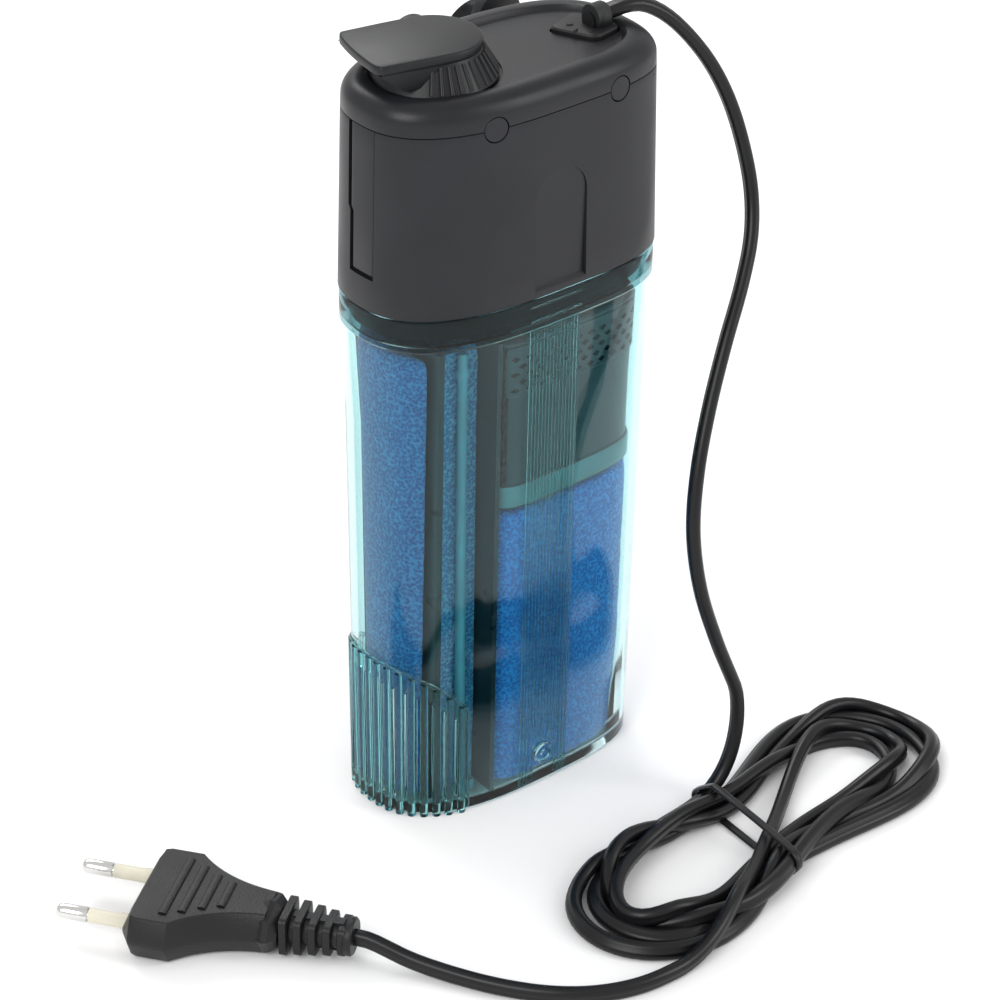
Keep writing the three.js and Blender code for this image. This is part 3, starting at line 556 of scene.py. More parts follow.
def metal(name, colour, roughness, streaks=(1, 1, 1)):
    material = newMaterial(name, colour, roughness, Metallic=1.0)
    lines = pattern(material, "Noise", 900, stretch=streaks, Detail=3.0)
    addBump(material, lines, 0.12, 0.02)
    addRoughness(material, pattern(material, "Noise", 160, Detail=4.0), roughness * 0.7, roughness * 1.4)
    return material


def laminations():
    material = newMaterial("motor laminations", (0.33, 0.34, 0.36), 0.4, Metallic=0.9)
    sheets = pattern(material, "Wave", 320, bands_direction="Z", Distortion=0.0)
    addBump(material, sheets, 0.6, 0.15)
    rust = pattern(material, "Noise", 260, Detail=5.0)
    addTints(material, rust, [(0.4, (0.32, 0.33, 0.35)), (0.75, (0.21, 0.15, 0.11))])
    return material


def winding():
    material = newMaterial("copper winding", (0.52, 0.2, 0.08), 0.32, Metallic=0.9)
    wires = pattern(material, "Wave", 520, bands_direction="Z", Distortion=0.6)
    addBump(material, wires, 0.9, 0.2)
    addTints(material, wires, [(0.1, (0.2, 0.06, 0.02)), (0.7, (0.62, 0.26, 0.1))])
    return material


def granules():
    material = newMaterial("carbon granules", (0.012, 0.012, 0.014), 0.7)
    grains = pattern(material, "Voronoi", 450, Randomness=1.0)
    addBump(material, grains, 1.0, 1.6)
    addTints(material, grains, [(0.1, (0.03, 0.03, 0.034)), (0.6, (0.005, 0.005, 0.006))])
    return material


def ceramic():
    material = newMaterial("ceramic shaft", (0.78, 0.77, 0.72), 0.22, Coat_Weight=0.3)
    addBump(material, pattern(material, "Noise", 1800, Detail=2.0), 0.12, 0.02)
    clouds = pattern(material, "Noise", 300)
    addTints(material, clouds, [(0.35, (0.7, 0.69, 0.63)), (0.65, (0.83, 0.82, 0.78))])
    return material


casingBlack = mouldedPlastic("casing black", (0.013, 0.0135, 0.0165), 0.40)
lidBlack = mouldedPlastic("lid black", (0.011, 0.0115, 0.014), 0.36, grain=0.4)
nozzleBlack = mouldedPlastic("nozzle black", (0.009, 0.0095, 0.011), 0.38, grain=0.3)
glandBlack = mouldedPlastic("gland black", (0.008, 0.008, 0.009), 0.46, grain=0.3)
bracketBlack = mouldedPlastic("bracket black", (0.012, 0.0125, 0.014), 0.42)
plugBlack = mouldedPlastic("plug black", (0.009, 0.009, 0.010), 0.42, grain=0.55, depth=0.14, strength=0.8)
leadBlack = mouldedPlastic("lead sheath", (0.006, 0.006, 0.007), 0.33, grain=0.9, depth=0.03, strength=0.3)
tieBlack = mouldedPlastic("tie sheath", (0.012, 0.012, 0.013), 0.36, grain=0.6, strength=0.3)
softRubber = mouldedPlastic("soft rubber", (0.02, 0.021, 0.022), 0.55, grain=0.5, strength=0.3)
cupRubber = mouldedPlastic("cup rubber", (0.015, 0.016, 0.018), 0.3, grain=1.5, strength=0.15)
motorGrey = mouldedPlastic("motor grey", (0.05, 0.052, 0.057), 0.5)
impellerWhite = mouldedPlastic("impeller white", (0.62, 0.63, 0.62), 0.42, grain=0.5, strength=0.2)
partitionTeal = mouldedPlastic("partition dark teal", (0.008, 0.03, 0.038), 0.3, grain=0.8, strength=0.2)
caseTeal = mouldedPlastic("carbon case slate", (0.022, 0.062, 0.075), 0.34, grain=0.8, strength=0.3)
bandTeal = mouldedPlastic("carbon case band", (0.12, 0.30, 0.33), 0.35, grain=0.8, strength=0.3)
rodTeal = mouldedPlastic("pull rod teal", (0.12, 0.33, 0.42), 0.3, grain=0.8, strength=0.2)
shellTeal = clearPlastic("clear teal shell", (0.66, 0.90, 0.91), 0.035)
gripTeal = clearPlastic("clear teal ribs", (0.50, 0.80, 0.82), 0.05)
# darker teal for the collar: painted shade for the dark spigot behind it under the head
collarShadeTeal = clearPlastic("clear teal collar", (0.10, 0.26, 0.29), 0.05)
# each sponge's second colour is its painted highlight colour
leftFoam = foam("left sponge blue", (0.008, 0.10, 0.32), (0.03, 0.22, 0.50))
middleFoam = foam("middle sponge blue", (0.015, 0.16, 0.40), (0.10, 0.42, 0.62))
rightFoam = foam("right sponge blue", (0.004, 0.17, 0.62), (0.03, 0.34, 0.85))
pinNickel = metal("pin nickel", (0.72, 0.71, 0.69), 0.16, streaks=(0.1, 1, 1))
magnetDark = metal("magnet ferrite", (0.11, 0.11, 0.12), 0.45)
sleeveCream = mouldedPlastic("pin sleeve cream", (0.62, 0.59, 0.48), 0.4, grain=0.5, strength=0.2)
laminatedSteel = laminations()
copperWinding = winding()
carbonBlack = granules()
shaftCeramic = ceramic()


def finish(thing, material, body, *nodes):
    if len(thing.data.materials) == 0:
        thing.data.materials.append(material)
    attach(thing, body)
    if nodes:
        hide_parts(*nodes)
    return thing


print("finishes made")


# repeated bars, ribs, slots and studs: one geometry tree puts a bar on each point
def barTree():
    tree = bpy.data.node_groups.new("bars on points", "GeometryNodeTree")
    for name, kind in (
        ("Geometry", "NodeSocketGeometry"), ("Sides", "NodeSocketInt"), ("Taper", "NodeSocketFloat"),
        ("Finish", "NodeSocketMaterial"),
    ):
        tree.interface.new_socket(name=name, in_out="INPUT", socket_type=kind)
    tree.interface.new_socket(name="Geometry", in_out="OUTPUT", socket_type="NodeSocketGeometry")
    nodes, links = tree.nodes, tree.links
    start, end = nodes.new("NodeGroupInput"), nodes.new("NodeGroupOutput")
    bar = nodes.new("GeometryNodeMeshCone")
    bar.inputs["Radius Bottom"].default_value = 1.0
    bar.inputs["Depth"].default_value = 1.0
    size, turn = nodes.new("GeometryNodeInputNamedAttribute"), nodes.new("GeometryNodeInputNamedAttribute")
    for node, name in ((size, "size"), (turn, "turn")):
        node.data_type = "FLOAT_VECTOR"
        node.inputs["Name"].default_value = name
    rotation = nodes.new("FunctionNodeEulerToRotation")
    place = nodes.new("GeometryNodeInstanceOnPoints")
    realize = nodes.new("GeometryNodeRealizeInstances")
    paint = nodes.new("GeometryNodeSetMaterial")
    centre = nodes.new("GeometryNodeTransform")
    centre.inputs["Translation"].default_value = (0, 0, -0.5)
    links.new(start.outputs["Sides"], bar.inputs["Vertices"])
    links.new(start.outputs["Taper"], bar.inputs["Radius Top"])
    links.new(start.outputs["Geometry"], place.inputs["Points"])
    links.new(bar.outputs["Mesh"], centre.inputs["Geometry"])
    links.new(centre.outputs["Geometry"], place.inputs["Instance"])
    links.new(size.outputs["Attribute"], place.inputs["Scale"])
    links.new(turn.outputs["Attribute"], rotation.inputs["Euler"])
    links.new(rotation.outputs["Rotation"], place.inputs["Rotation"])
    links.new(place.outputs["Instances"], realize.inputs["Geometry"])
    links.new(realize.outputs["Geometry"], paint.inputs["Geometry"])
    links.new(start.outputs["Finish"], paint.inputs["Material"])
    links.new(paint.outputs["Geometry"], end.inputs["Geometry"])
    return tree


barsOnPoints = barTree()


# each bar is centred on its place, along its own Z: (place, (half width, half depth, length), (turns))
def bars(name, spots, material, sides=12, taper=1.0, smoothAngle=50):
    mesh = bpy.data.meshes.new(name)
    mesh.from_pydata([tuple(c * mm for c in place) for place, _, _ in spots], [], [])
    for key, index in (("size", 1), ("turn", 2)):
        layer = mesh.attributes.new(key, "FLOAT_VECTOR", "POINT")
        scale = mm if key == "size" else 1.0
        layer.data.foreach_set("vector", [c * scale for spot in spots for c in spot[index]])
    thing = bpy.data.objects.new(name, mesh)
    bpy.context.scene.collection.objects.link(thing)
    modifier = thing.modifiers.new("bars", "NODES")
    modifier.node_group = barsOnPoints
    values = {"Sides": sides, "Taper": taper, "Finish": material}
    for item in barsOnPoints.interface.items_tree:
        if item.in_out == "INPUT" and item.name in values:
            modifier[item.identifier] = values[item.name]
    settle(thing, smoothAngle)
    for layer in ("size", "turn"):
        if layer in thing.data.attributes:
            thing.data.attributes.remove(thing.data.attributes[layer])
    thing.data.materials.clear()
    thing.data.materials.append(material)
    thing.data.polygons.foreach_set("material_index", [0] * len(thing.data.polygons))
    return thing


# head casing: drafted wall, spigot for the canister, floor with the pump's opening, front recess, end panel
head = {
    "wall": 2.0,
    "floor": 2.2,
    "spigotLow": 144.5,
    "spigotHalf": (40.3, 22.2),
    "spigotWall": 1.8,
    "pumpX": 8,
    "pumpHole": 11.8,
    "recess": {
        "x": 1.95, "halfWidth": 8.1, "low": 153.6, "high": 184.6,
        "depth": 0.5, "deeperLow": 0.42, "deeperRight": 0.16,
    },
    "panel": {
        "front": -5.2, "back": 2.2, "foot": 161, "groove": 1.2,
        "step": 0.9, "stepZ": 176, "depth": 1.3,
    },
    "plugX": (-17.5, 20.8),
    "plugRadius": 3.15,
    "plugGap": 0.24,
}


# a solid between two copies of an outline, each set back by its own rule
def slab(name, outline, place, near, far):
    rings = [[place(a, b, near(a, b)) for a, b in outline], [place(a, b, far(a, b)) for a, b in outline]]
    thing = ringObject(name, rings)
    recalculate(thing)
    return thing


def archOutline(x, halfWidth, low, high, steps=40):
    outline = [(x - halfWidth, low), (x + halfWidth, low)]
    for i in range(steps + 1):
        turn = math.pi * i / steps
        outline.append((x + halfWidth * math.cos(turn), high - halfWidth + halfWidth * math.sin(turn)))
    return outline


def recessCutter():
    r = head["recess"]

    def back(x, z):
        up = (z - r["low"]) / (r["high"] - r["low"]) * 2 - 1
        depth = r["depth"] - r["deeperLow"] * up + r["deeperRight"] * (x - r["x"]) / r["halfWidth"]
        return -headHalf(z)[1] + depth

    outline = archOutline(r["x"], r["halfWidth"], r["low"], r["high"])
    low = outline[:2]
    frontOutline = [(x, z - 5.5) if (x, z) in low else (x, z) for x, z in outline]
    rings = [[(x, -30, z) for x, z in frontOutline], [(x, back(x, z), z) for x, z in outline]]
    cutter = ringObject("recess cutter", rings)
    recalculate(cutter)
    return cutter


def panelOutline(grow):
    p = head["panel"]
    back, foot = p["back"] + grow, p["foot"] - grow
    front = p["front"] - (0.22 if grow else 0)
    return [
        (front, foot), (back, foot), (back, p["stepZ"]), (back + p["step"], p["stepZ"] + 1.2),
        (back + p["step"], seam + 3), (front, seam + 3),
    ]


def plugCutters(radius):
    cutters = []
    for x in head["plugX"]:
        for side in (-1, 1):
            low, high = sorted((side * 30, side * (bodyHalfDepth - 4)))
            cutters.append(crossPost("plug cutter", x, seam, low, high, radius))
    return cutters


def headCasing():
    wall, floor = head["wall"], headBottom + head["floor"]
    length, depth = head["spigotHalf"]
    thin = head["spigotWall"]
    low, x, r = head["spigotLow"], head["pumpX"], head["pumpHole"]
    hole = lambda z: np.c_[x + r * np.cos(planTurns), r * np.sin(planTurns), np.full(len(planTurns), z)]
    rings = [planRing(*headHalf(headBottom, 0.45), headBottom)]
    for inset, up in ((0.13, 0.13), (0, 0.45)):
        rings.append(planRing(*headHalf(headBottom, inset), headBottom + up))
    rings += [planRing(*headHalf(z), z) for z in np.linspace(headBottom + 8, seam - 2, 5)]
    for inset, down in ((0, 0.25), (0.05, 0.1), (0.2, 0.05)):
        rings.append(planRing(*headHalf(seam, inset), seam - down))
    rings += [planRing(*headHalf(seam, wall), seam - 0.05), planRing(*headHalf(floor, wall), floor)]
    rings += [hole(floor), hole(headBottom)]
    rings += [planRing(length - thin, depth - thin, headBottom), planRing(length - thin, depth - thin, low)]
    rings += [planRing(length - 0.5, depth - 0.5, low), planRing(length, depth, low + 1.2)]
    rings += [planRing(length, depth, headBottom)]
    casing = ringObject("head_casing_shell", rings, loop=True)
    p = head["panel"]
    surface = lambda z: -headHalf(z)[0]
    groove = slab(
        "panel cutter", panelOutline(p["groove"]), lambda y, z, x: (x, y, z),
        lambda y, z: -50, lambda y, z: surface(z) + p["depth"],
    )
    plugRooms = plugCutters(head["plugRadius"] + head["plugGap"])
    return combine(casing, [recessCutter(), groove] + plugRooms, smoothAngle=28)


# follows the round end's curve, a hair under the casing's face
def endPanel():
    outline = panelOutline(0)
    p = head["panel"]
    ys = np.linspace(p["front"], p["back"] + p["step"], 14)
    rows = np.r_[p["foot"], p["stepZ"], p["stepZ"] + 1.2, np.linspace(p["stepZ"] + 6, seam - 0.1, 4)]
    rings = []
    for z in rows:
        limit = p["back"] + (p["step"] if z > p["stepZ"] + 0.5 else 0)
        seen = np.minimum(ys, limit - 0.001 * (ys[-1] - ys))
        outer = [(outlineX(y, *headHalf(z, 0.12)), y, z) for y in seen]
        inner = [(x + 0.9, y, z) for x, y, z in reversed(outer)]
        rings.append(outer + inner)
    panel = ringObject("end_panel_skin", rings)
    recalculate(panel)
    return bevel(panel, 0.15)


def lidPlug(x, side, name):
    r = head["plugRadius"]
    rings = []
    turns = np.linspace(0, 2 * math.pi, 40, endpoint=False)
    steps = ((0.05, 0.03), (1.2, 0.03), (2.4, 0.03), (r - 0.15, 0.03), (r, 0.2), (r, 3.2), (0.05, 3.2))
    for radius, sunk in steps:
        ring = []
        for turn in turns:
            px, pz = x + radius * math.cos(turn), seam + radius * math.sin(turn)
            half = headHalf(min(pz, seam))
            ring.append((px, outlineY(px, *half, side) - side * sunk, pz))
        rings.append(ring)
    plug = ringObject(name, rings)
    recalculate(plug)
    return plug


finish(headCasing(), casingBlack, "head", "head_casing")
finish(endPanel(), casingBlack, "head", "end_panel")
for number, x in enumerate(head["plugX"], 1):
    finish(lidPlug(x, -1, f"lid_plug_front_{number}_face"), casingBlack, "head", f"lid_plug_front_{number}")
    finish(lidPlug(x, 1, f"lid_plug_back_{number}_face"), casingBlack, "head", f"lid_plug_back_{number}")


# slide rail on the casing's back for the wall bracket
rail = {"x": 11.5, "neck": 9, "flange": 14, "height": 28, "low": 11, "neckEnd": 1.7, "depth": 2}


def bracketRail():
    start = headHalf(seam)[1] - 1
    neckEnd = headHalf(headBottom)[1] + rail["neckEnd"]
    low, high = headBottom + rail["low"], headBottom + rail["low"] + rail["height"]
    neck, flange = rail["neck"] / 2, rail["flange"] / 2
    end = neckEnd + rail["depth"]
    outline = [
        (-neck, start), (neck, start), (neck, neckEnd), (flange, neckEnd),
        (flange, end), (-flange, end), (-flange, neckEnd), (-neck, neckEnd),
    ]
    rings = [[(rail["x"] + x, y, z) for x, y in outline] for z in (low, high)]
    return bevel(ringObject("bracket_rail", rings), 0.35)


finish(bracketRail(), casingBlack, "head")
print("head casing made")


# lid: rounded rim, dished deck, round seat for the nozzle, gland pocket
lid = {
    "rounding": 5,
    "rimWidth": 1.6,
    "dish": 1.5,
    "roof": 2,
    "wall": 2.2,
    "nozzleSeat": 16.8,
    "spigotHole": 8.9,
}
nozzlePlace = (-17.5, 2)
deckTop = lidTop - lid["dish"]
glandPlace = (bodyHalfLength - 15.2, -1.8)
glandCorners = [(-8, 4.6), (-2.5, -7.6), (7.4, -5.6), (3.4, 8)]


# the gland's outline with round corners, grown by a margin
def glandOutline(grow, radius=2.6):
    corners = [np.array(c, float) for c in glandCorners]
    middle = sum(corners) / 4
    outline = []
    for before, corner, after in zip([corners[-1]] + corners[:-1], corners, corners[1:] + corners[:1]):
        grown = corner + (corner - middle) / np.linalg.norm(corner - middle) * grow * 1.3
        a = grown + (before - corner) / np.linalg.norm(before - corner) * radius
        b = grown + (after - corner) / np.linalg.norm(after - corner) * radius
        for t in np.linspace(0, 1, 7):
            outline.append((1 - t) ** 2 * a + 2 * t * (1 - t) * grown + t * t * b)
    return [(glandPlace[0] + x, glandPlace[1] + y) for x, y in outline]


def headLid():
    half = headHalf(seam)
    inBy = lambda inset, z: planRing(half[0] - inset, half[1] - inset, z)
    r, crown = lid["rounding"], lid["rounding"] + lid["rimWidth"]
    rings = [inBy(lid["wall"] + 1, deckTop - lid["roof"]), inBy(lid["wall"], seam + 0.15)]
    rings.append(inBy(0.25, seam + 0.15))
    rings += [inBy(0.06, seam + 0.2), inBy(0, seam + 0.4), inBy(0.1, lidTop - r)]
    for turn in range(9, 91, 9):
        a = math.radians(turn)
        rings.append(inBy(0.1 + (r - 0.1) * (1 - math.cos(a)), lidTop - r + r * math.sin(a)))
    rings += [inBy(crown - 0.5, lidTop), inBy(crown, lidTop - 0.15), inBy(crown + 0.5, deckTop + 0.55)]
    rings += [inBy(crown + 1.0, deckTop + 0.1), inBy(crown + 1.6, deckTop), inBy(crown + 4, deckTop)]
    top = ringObject("head_lid_shell", rings)
    x, y = nozzlePlace
    seat = post("seat", x, y, deckTop - 0.6, lidTop + 2, lid["nozzleSeat"], sides=96)
    hole = post("hole", x, y, seam - 2, lidTop + 2, lid["spigotHole"])
    pocket = ringObject("pocket", [[(a, b, z) for a, b in glandOutline(0.35)] for z in (seam, lidTop + 2)])
    recalculate(pocket)
    plugRooms = plugCutters(head["plugRadius"] + head["plugGap"])
    return combine(top, [seat, hole, pocket] + plugRooms, smoothAngle=28)


finish(headLid(), lidBlack, "head", "head_lid")


# gland: a tilted insert with two pressed pips and a half-round channel for the lead
gland = {"rise": 1.5, "channel": 2.9, "hood": 3.75, "hoodLength": 3.4}


def cordGland():
    x, y, z = leadExit
    outline = glandOutline(0)
    rings = [[(a, b, deckTop - 3) for a, b in outline]]
    for shrink, up in ((0, 0.9), (0.06, 1.35), (0.16, gland["rise"]), (0.6, gland["rise"] + 0.15)):
        cx, cy = glandPlace
        rings.append([(a + (cx - a) * shrink, b + (cy - b) * shrink, deckTop + up) for a, b in outline])
    body = ringObject("cord_gland_insert", rings)
    hood = turned("hood", [
        (0.05, -gland["hoodLength"] - 1.2), (2.4, -gland["hoodLength"] - 0.8),
        (3.3, -gland["hoodLength"] + 0.3), (gland["hood"], -1.8), (gland["hood"] - 0.15, 0.2), (0.05, 0.2),
    ], (x, y, z - 0.6), (1, 0, 0))
    recalculate(hood)
    below = boxObject("below", (-60, -60, deckTop - 30), (60, 60, deckTop - 0.5))
    combine(hood, [below])
    combine(body, [hood], "UNION")
    channel = gland["channel"]
    profile = [(0.05, -4.2), (channel, -4.2), (channel + 0.5, 4), (0.05, 4)]
    bore = turned("bore", profile, (x, y, z), (1, 0, 0))
    recalculate(bore)
    return combine(body, [bore], smoothAngle=30)


def glandPips():
    x, y = glandPlace
    spots = []
    for dx, dy, turn in ((-4.2, -1.6, 0.35), (-1.6, -4.4, 0.35), (-3.4, 1.6, -0.5)):
        spots.append(((x + dx, y + dy, deckTop + gland["rise"] + 0.15), (1.1, 0.45, 0.5), (0, 0, turn)))
    return bars("gland_pips", spots, glandBlack, sides=10, taper=0.7)


def cordGrommet():
    x, y, z = leadExit
    profile = [(2.2, -3.4), (3.35, -3.4), (3.35, 0.5), (3.0, 1.1), (2.55, 1.5), (2.2, 1.5), (2.2, -3.4)]
    grommet = turned("cord_grommet_sleeve", profile, (x, y, z), (1, 0, 0))
    recalculate(grommet)
    return grommet


finish(cordGland(), glandBlack, "head", "cord_gland")
finish(glandPips(), glandBlack, "head")
finish(cordGrommet(), softRubber, "head", "cord_grommet")
print("lid and gland made")


# outlet nozzle: a flat cover with a straight beak on a ribbed, flaring skirt,
# turned a little off the body's axis
nozzle = {
    "turn": -12,
    "bottom": 206.3,
    "baseRadius": 16,
    "topRadius": 12,
    "plateLow": 213.1,
    "plateTop": 215.7,
    "beak": 21,
    "beakHalf": 12,
    "channelLow": 208.3,
    "channelHalf": 8.5,
    "spigot": 8.4,
    "bore": 7,
    "ribs": 26,
}


def coverOutline(grow=0.0, steps=48):
    r = nozzle["topRadius"] + grow
    half = nozzle["beakHalf"] + grow
    outline = []
    for i in range(steps + 1):
        turn = -math.pi / 2 + math.pi * i / steps
        outline.append((r * math.cos(turn), r * math.sin(turn)))
    outline += [(-8, half), (-nozzle["beak"] + 1.6, half - 0.3)]
    for i in range(1, 12):  # the beak's end bows out a little
        y = (half - 0.6) * (1 - 2 * i / 12)
        outline.append((-nozzle["beak"] - grow + 1.0 * (y / half) ** 2, y))
    outline += [(-nozzle["beak"] + 1.6, -half + 0.3), (-8, -half)]
    return outline


def nozzleBody():
    low, high = nozzle["plateLow"], nozzle["plateTop"]
    cover = ringObject("nozzle_cover", [[(a, b, z) for a, b in coverOutline()] for z in (low, high)])
    bevel(cover, 0.7, 3, 50)
    topRadius = nozzle["topRadius"] - 0.5
    skirt = post("skirt", 0, 0, nozzle["bottom"], low + 0.4, nozzle["baseRadius"], topRadius, 96)
    foot, cheek = nozzle["channelLow"], nozzle["beakHalf"] - 0.4
    outline = [(0, foot), (-13.4, foot), (-nozzle["beak"] + 1.2, low + 0.3), (0, low + 0.3)]
    wedge = slab("cheeks", outline, lambda x, z, y: (x, y, z), lambda x, z: -cheek, lambda x, z: cheek)
    spigot = post("spigot", 0, 0, seam - 3, nozzle["bottom"] + 0.3, nozzle["spigot"])
    combine(cover, [skirt, wedge, spigot], "UNION")
    half = nozzle["channelHalf"]
    channel = boxObject("channel", (-30, -half, nozzle["channelLow"]), (0, half, low))
    bore = post("bore", 0, 0, seam - 5, low, nozzle["bore"])
    combine(channel, [bore], "UNION")
    combine(cover, [channel], smoothAngle=32)
    return cover


# fine upright ribs that lean in with the skirt, on the side away from the beak
def skirtRibs():
    spots = []
    flare = nozzle["baseRadius"] - nozzle["topRadius"]
    tall = nozzle["plateLow"] - nozzle["bottom"]
    lean = math.atan2(flare, tall)
    length = math.hypot(flare, tall) - 1.0
    for i in range(nozzle["ribs"]):
        turn = math.radians(-118 + 236 * i / (nozzle["ribs"] - 1))
        r = (nozzle["baseRadius"] + nozzle["topRadius"]) / 2 - 0.05
        z = (nozzle["bottom"] + nozzle["plateLow"]) / 2
        spots.append(((r * math.cos(turn), r * math.sin(turn), z), (0.55, 0.62, length), (0, -lean, turn)))
    return bars("nozzle_skirt_ribs", spots, nozzleBlack, sides=8, taper=0.8)


def placeNozzle(thing):
    turn = Matrix.Rotation(math.radians(nozzle["turn"]), 4, "Z")
    place = Matrix.Translation((nozzlePlace[0] * mm, nozzlePlace[1] * mm, 0))
    thing.data.transform(place @ turn)
    return thing


finish(placeNozzle(nozzleBody()), nozzleBlack, "nozzle", "outlet_nozzle")
finish(placeNozzle(skirtRibs()), nozzleBlack, "nozzle")
print("nozzle made")


# canister: clear tapered shell with a collar, upright intake slots and fins round its round end,
# and a grip strip in front
canister = {
    "wall": 1.8,
    "floor": 2.5,
    "grip": (-6.3, 9.0),
    "gripRibs": 13,
    "finPitch": 3.35,
    "finsPerSide": 8,
    "finHeight": 46,
    "finDrop": 12,
    "slotWidth": 1.0,
    "drain": (1.35, 9.8, 3.0),
}


def canisterShell():
    wall = canister["wall"]
    rings = []
    for inset, z in ((1.5, 0), (0.75, 0.15), (0.25, 0.55), (0, 1.2)):
        rings.append(planRing(*canisterHalf(z, inset), z))
    for z in np.linspace(20, collarBottom - 1.2, 6):
        rings.append(planRing(*canisterHalf(z), z))
    full = (bodyHalfLength, bodyHalfDepth)
    grown = lambda inset, z: planRing(full[0] - inset, full[1] - inset, z)
    rings += [grown(collar["lip"] - 0.1, collarBottom - 0.9), grown(0.3, collarBottom - 0.35)]
    rings.append(grown(0, collarBottom))
    rings += [grown(0, canisterTop - 0.5), grown(0.15, canisterTop - 0.12), grown(0.45, canisterTop)]
    rings += [grown(wall - 0.3, canisterTop), grown(wall, canisterTop - 0.4), grown(wall, collarBottom + 1)]
    rings.append(planRing(*canisterHalf(collarBottom, wall), collarBottom))
    for z in np.linspace(collarBottom - 20, canister["floor"] + 2, 5):
        rings.append(planRing(*canisterHalf(z, wall), z))
    rings.append(planRing(*canisterHalf(canister["floor"], wall + 0.8), canister["floor"] + 0.3))
    rings.append(planRing(*canisterHalf(canister["floor"], wall + 2.5), canister["floor"]))
    shell = ringObject("canister_shell_clear", rings)
    x, z, r = canister["drain"]
    drain = crossPost("drain", x, z, -30, 0, r + 0.25)
    slots = bars("intake slots", finSpots(slots=True), shellTeal, sides=4, smoothAngle=20)
    slots.data.materials.clear()
    return combine(shell, [drain, slots], smoothAngle=28)


# places along the outline, counted from the middle of the round end, with the outward turn there
def finSpots(slots=False):
    half = canisterHalf(0)
    turns = evenTurns(*half, 2000)
    ring = planRing(*half, 0, turns)
    middle = int(np.argmin(ring[:, 0]))
    spacing = np.linalg.norm(ring[1] - ring[0])
    spots = []
    shift = 0.5 if slots else 0.0
    count = canister["finsPerSide"]
    for number in range(-count, count + (0 if slots else 1)):
        index = (middle + int(round((number + shift) * canister["finPitch"] / spacing))) % len(ring)
        x, y, _ = ring[index]
        ahead = ring[(index + 6) % len(ring)] - ring[index - 6]
        out = math.atan2(-ahead[0], ahead[1])
        away = abs(number + shift) / count
        height = canister["finHeight"] - canister["finDrop"] * away ** 2.6
        if slots:
            length = height - 10
            spots.append(((x - math.cos(out) * 0.4, y - math.sin(out) * 0.4, 4.5 + length / 2),
                          (3.2, canister["slotWidth"] / 2, length), (0, 0, out)))
            continue
        lean = (1 - collar["taper"]) / collarBottom
        grow = 1 + lean * height / 2
        place = (x * grow - math.cos(out) * 0.05, y * grow - math.sin(out) * 0.05, height / 2 + 0.1)
        tilt = lean * math.hypot(x, y)
        spots.append((place, (0.95, 1.12, height), (0, tilt, out)))
    return spots


def intakeFins():
    return bars("intake_fins", finSpots(), gripTeal, sides=10, taper=0.92)


# a thin rim that follows the tops of the fins
def finRim():
    half = canisterHalf(0)
    turns = evenTurns(*half, 2000)
    ring = planRing(*half, 0, turns)
    middle = int(np.argmin(ring[:, 0]))
    spacing = np.linalg.norm(ring[1] - ring[0])
    reach = canister["finPitch"] * (canister["finsPerSide"] + 0.5)
    line = []
    for along in np.linspace(-reach, reach, 120):
        x, y, _ = ring[(middle + int(round(along / spacing))) % len(ring)]
        away = abs(along) / (canister["finPitch"] * canister["finsPerSide"])
        z = canister["finHeight"] - canister["finDrop"] * away ** 2.6 + 0.8
        grow = 1 + (1 - collar["taper"]) * z / collarBottom
        line.append((x * grow, y * grow, z))
    # the rim turns down at both ends and runs to the foot
    first, last = line[0], line[-1]

    def scale(p, z):
        grow = 1 + (1 - collar["taper"]) * (z - p[2]) / collarBottom
        return (p[0] * grow, p[1] * grow, z)

    down = [scale(first, z) for z in np.linspace(1.5, first[2] - 2, 12)]
    up = [scale(last, z) for z in np.linspace(last[2] - 2, 1.5, 12)]
    turn = np.linspace(0, 2 * math.pi, 8, endpoint=False)
    path = smoothPath(down + line + up, 1.5)
    return sweep("fin_rim", path, 0.5 * np.cos(turn), 0.5 * np.sin(turn), (0, 0, 1))


def gripRibs():
    left, right = canister["grip"]
    spots = []
    low, high = 1.5, collarBottom - 1
    middle = (low + high) / 2
    lean = (canisterHalf(high)[1] - canisterHalf(low)[1]) / (high - low)
    for i in range(canister["gripRibs"] + 2):
        x = left + (right - left) * i / (canister["gripRibs"] + 1)
        edge = i in (0, canister["gripRibs"] + 1, canister["gripRibs"])
        start = low if abs(x - canister["drain"][0]) > 4.4 else canister["drain"][1] + 5.0
        span, centre = high - start, (high + start) / 2
        y = outlineY(x, *canisterHalf(centre))
        size = (0.42, 0.34, span) if edge else (0.3, 0.26, span)
        spots.append(((x, float(y) - 0.05, centre), size, (math.atan(lean), 0, 0)))
    return bars("grip_ribs", spots, gripTeal, sides=8)


# two short bars across the collar mark where it snaps over the head
def collarClip():
    left, right = canister["grip"]
    spots = []
    for z in (headBottom - 2.2, headBottom - 6.3):
        for i in range(12):
            x = left - 1 + (right - left + 1) * (i + 0.5) / 12
            y = float(outlineY(x, bodyHalfLength, bodyHalfDepth))
            spots.append(((x, y - 0.05, z), (0.38, 0.3, (right - left + 1) / 12), (0, math.pi / 2, 0)))
    return bars("collar_clip", spots, gripTeal, sides=8)


# round drain plug under a small arch
def drainArch():
    x, z, r = canister["drain"]
    line = []
    for turn in np.linspace(math.pi * 1.12, -math.pi * 0.12, 40):
        px, pz = x + (r + 1.3) * math.cos(turn), z + (r + 1.3) * math.sin(turn)
        line.append((px, float(outlineY(px, *canisterHalf(pz))) - 0.1, pz))
    line = [(line[0][0], line[0][1], 2.2)] + line + [(line[-1][0], line[-1][1], 2.2)]
    turn = np.linspace(0, 2 * math.pi, 8, endpoint=False)
    return sweep("drain_arch", smoothPath(line, 0.8), 0.36 * np.cos(turn), 0.36 * np.sin(turn), (0, 1, 0))


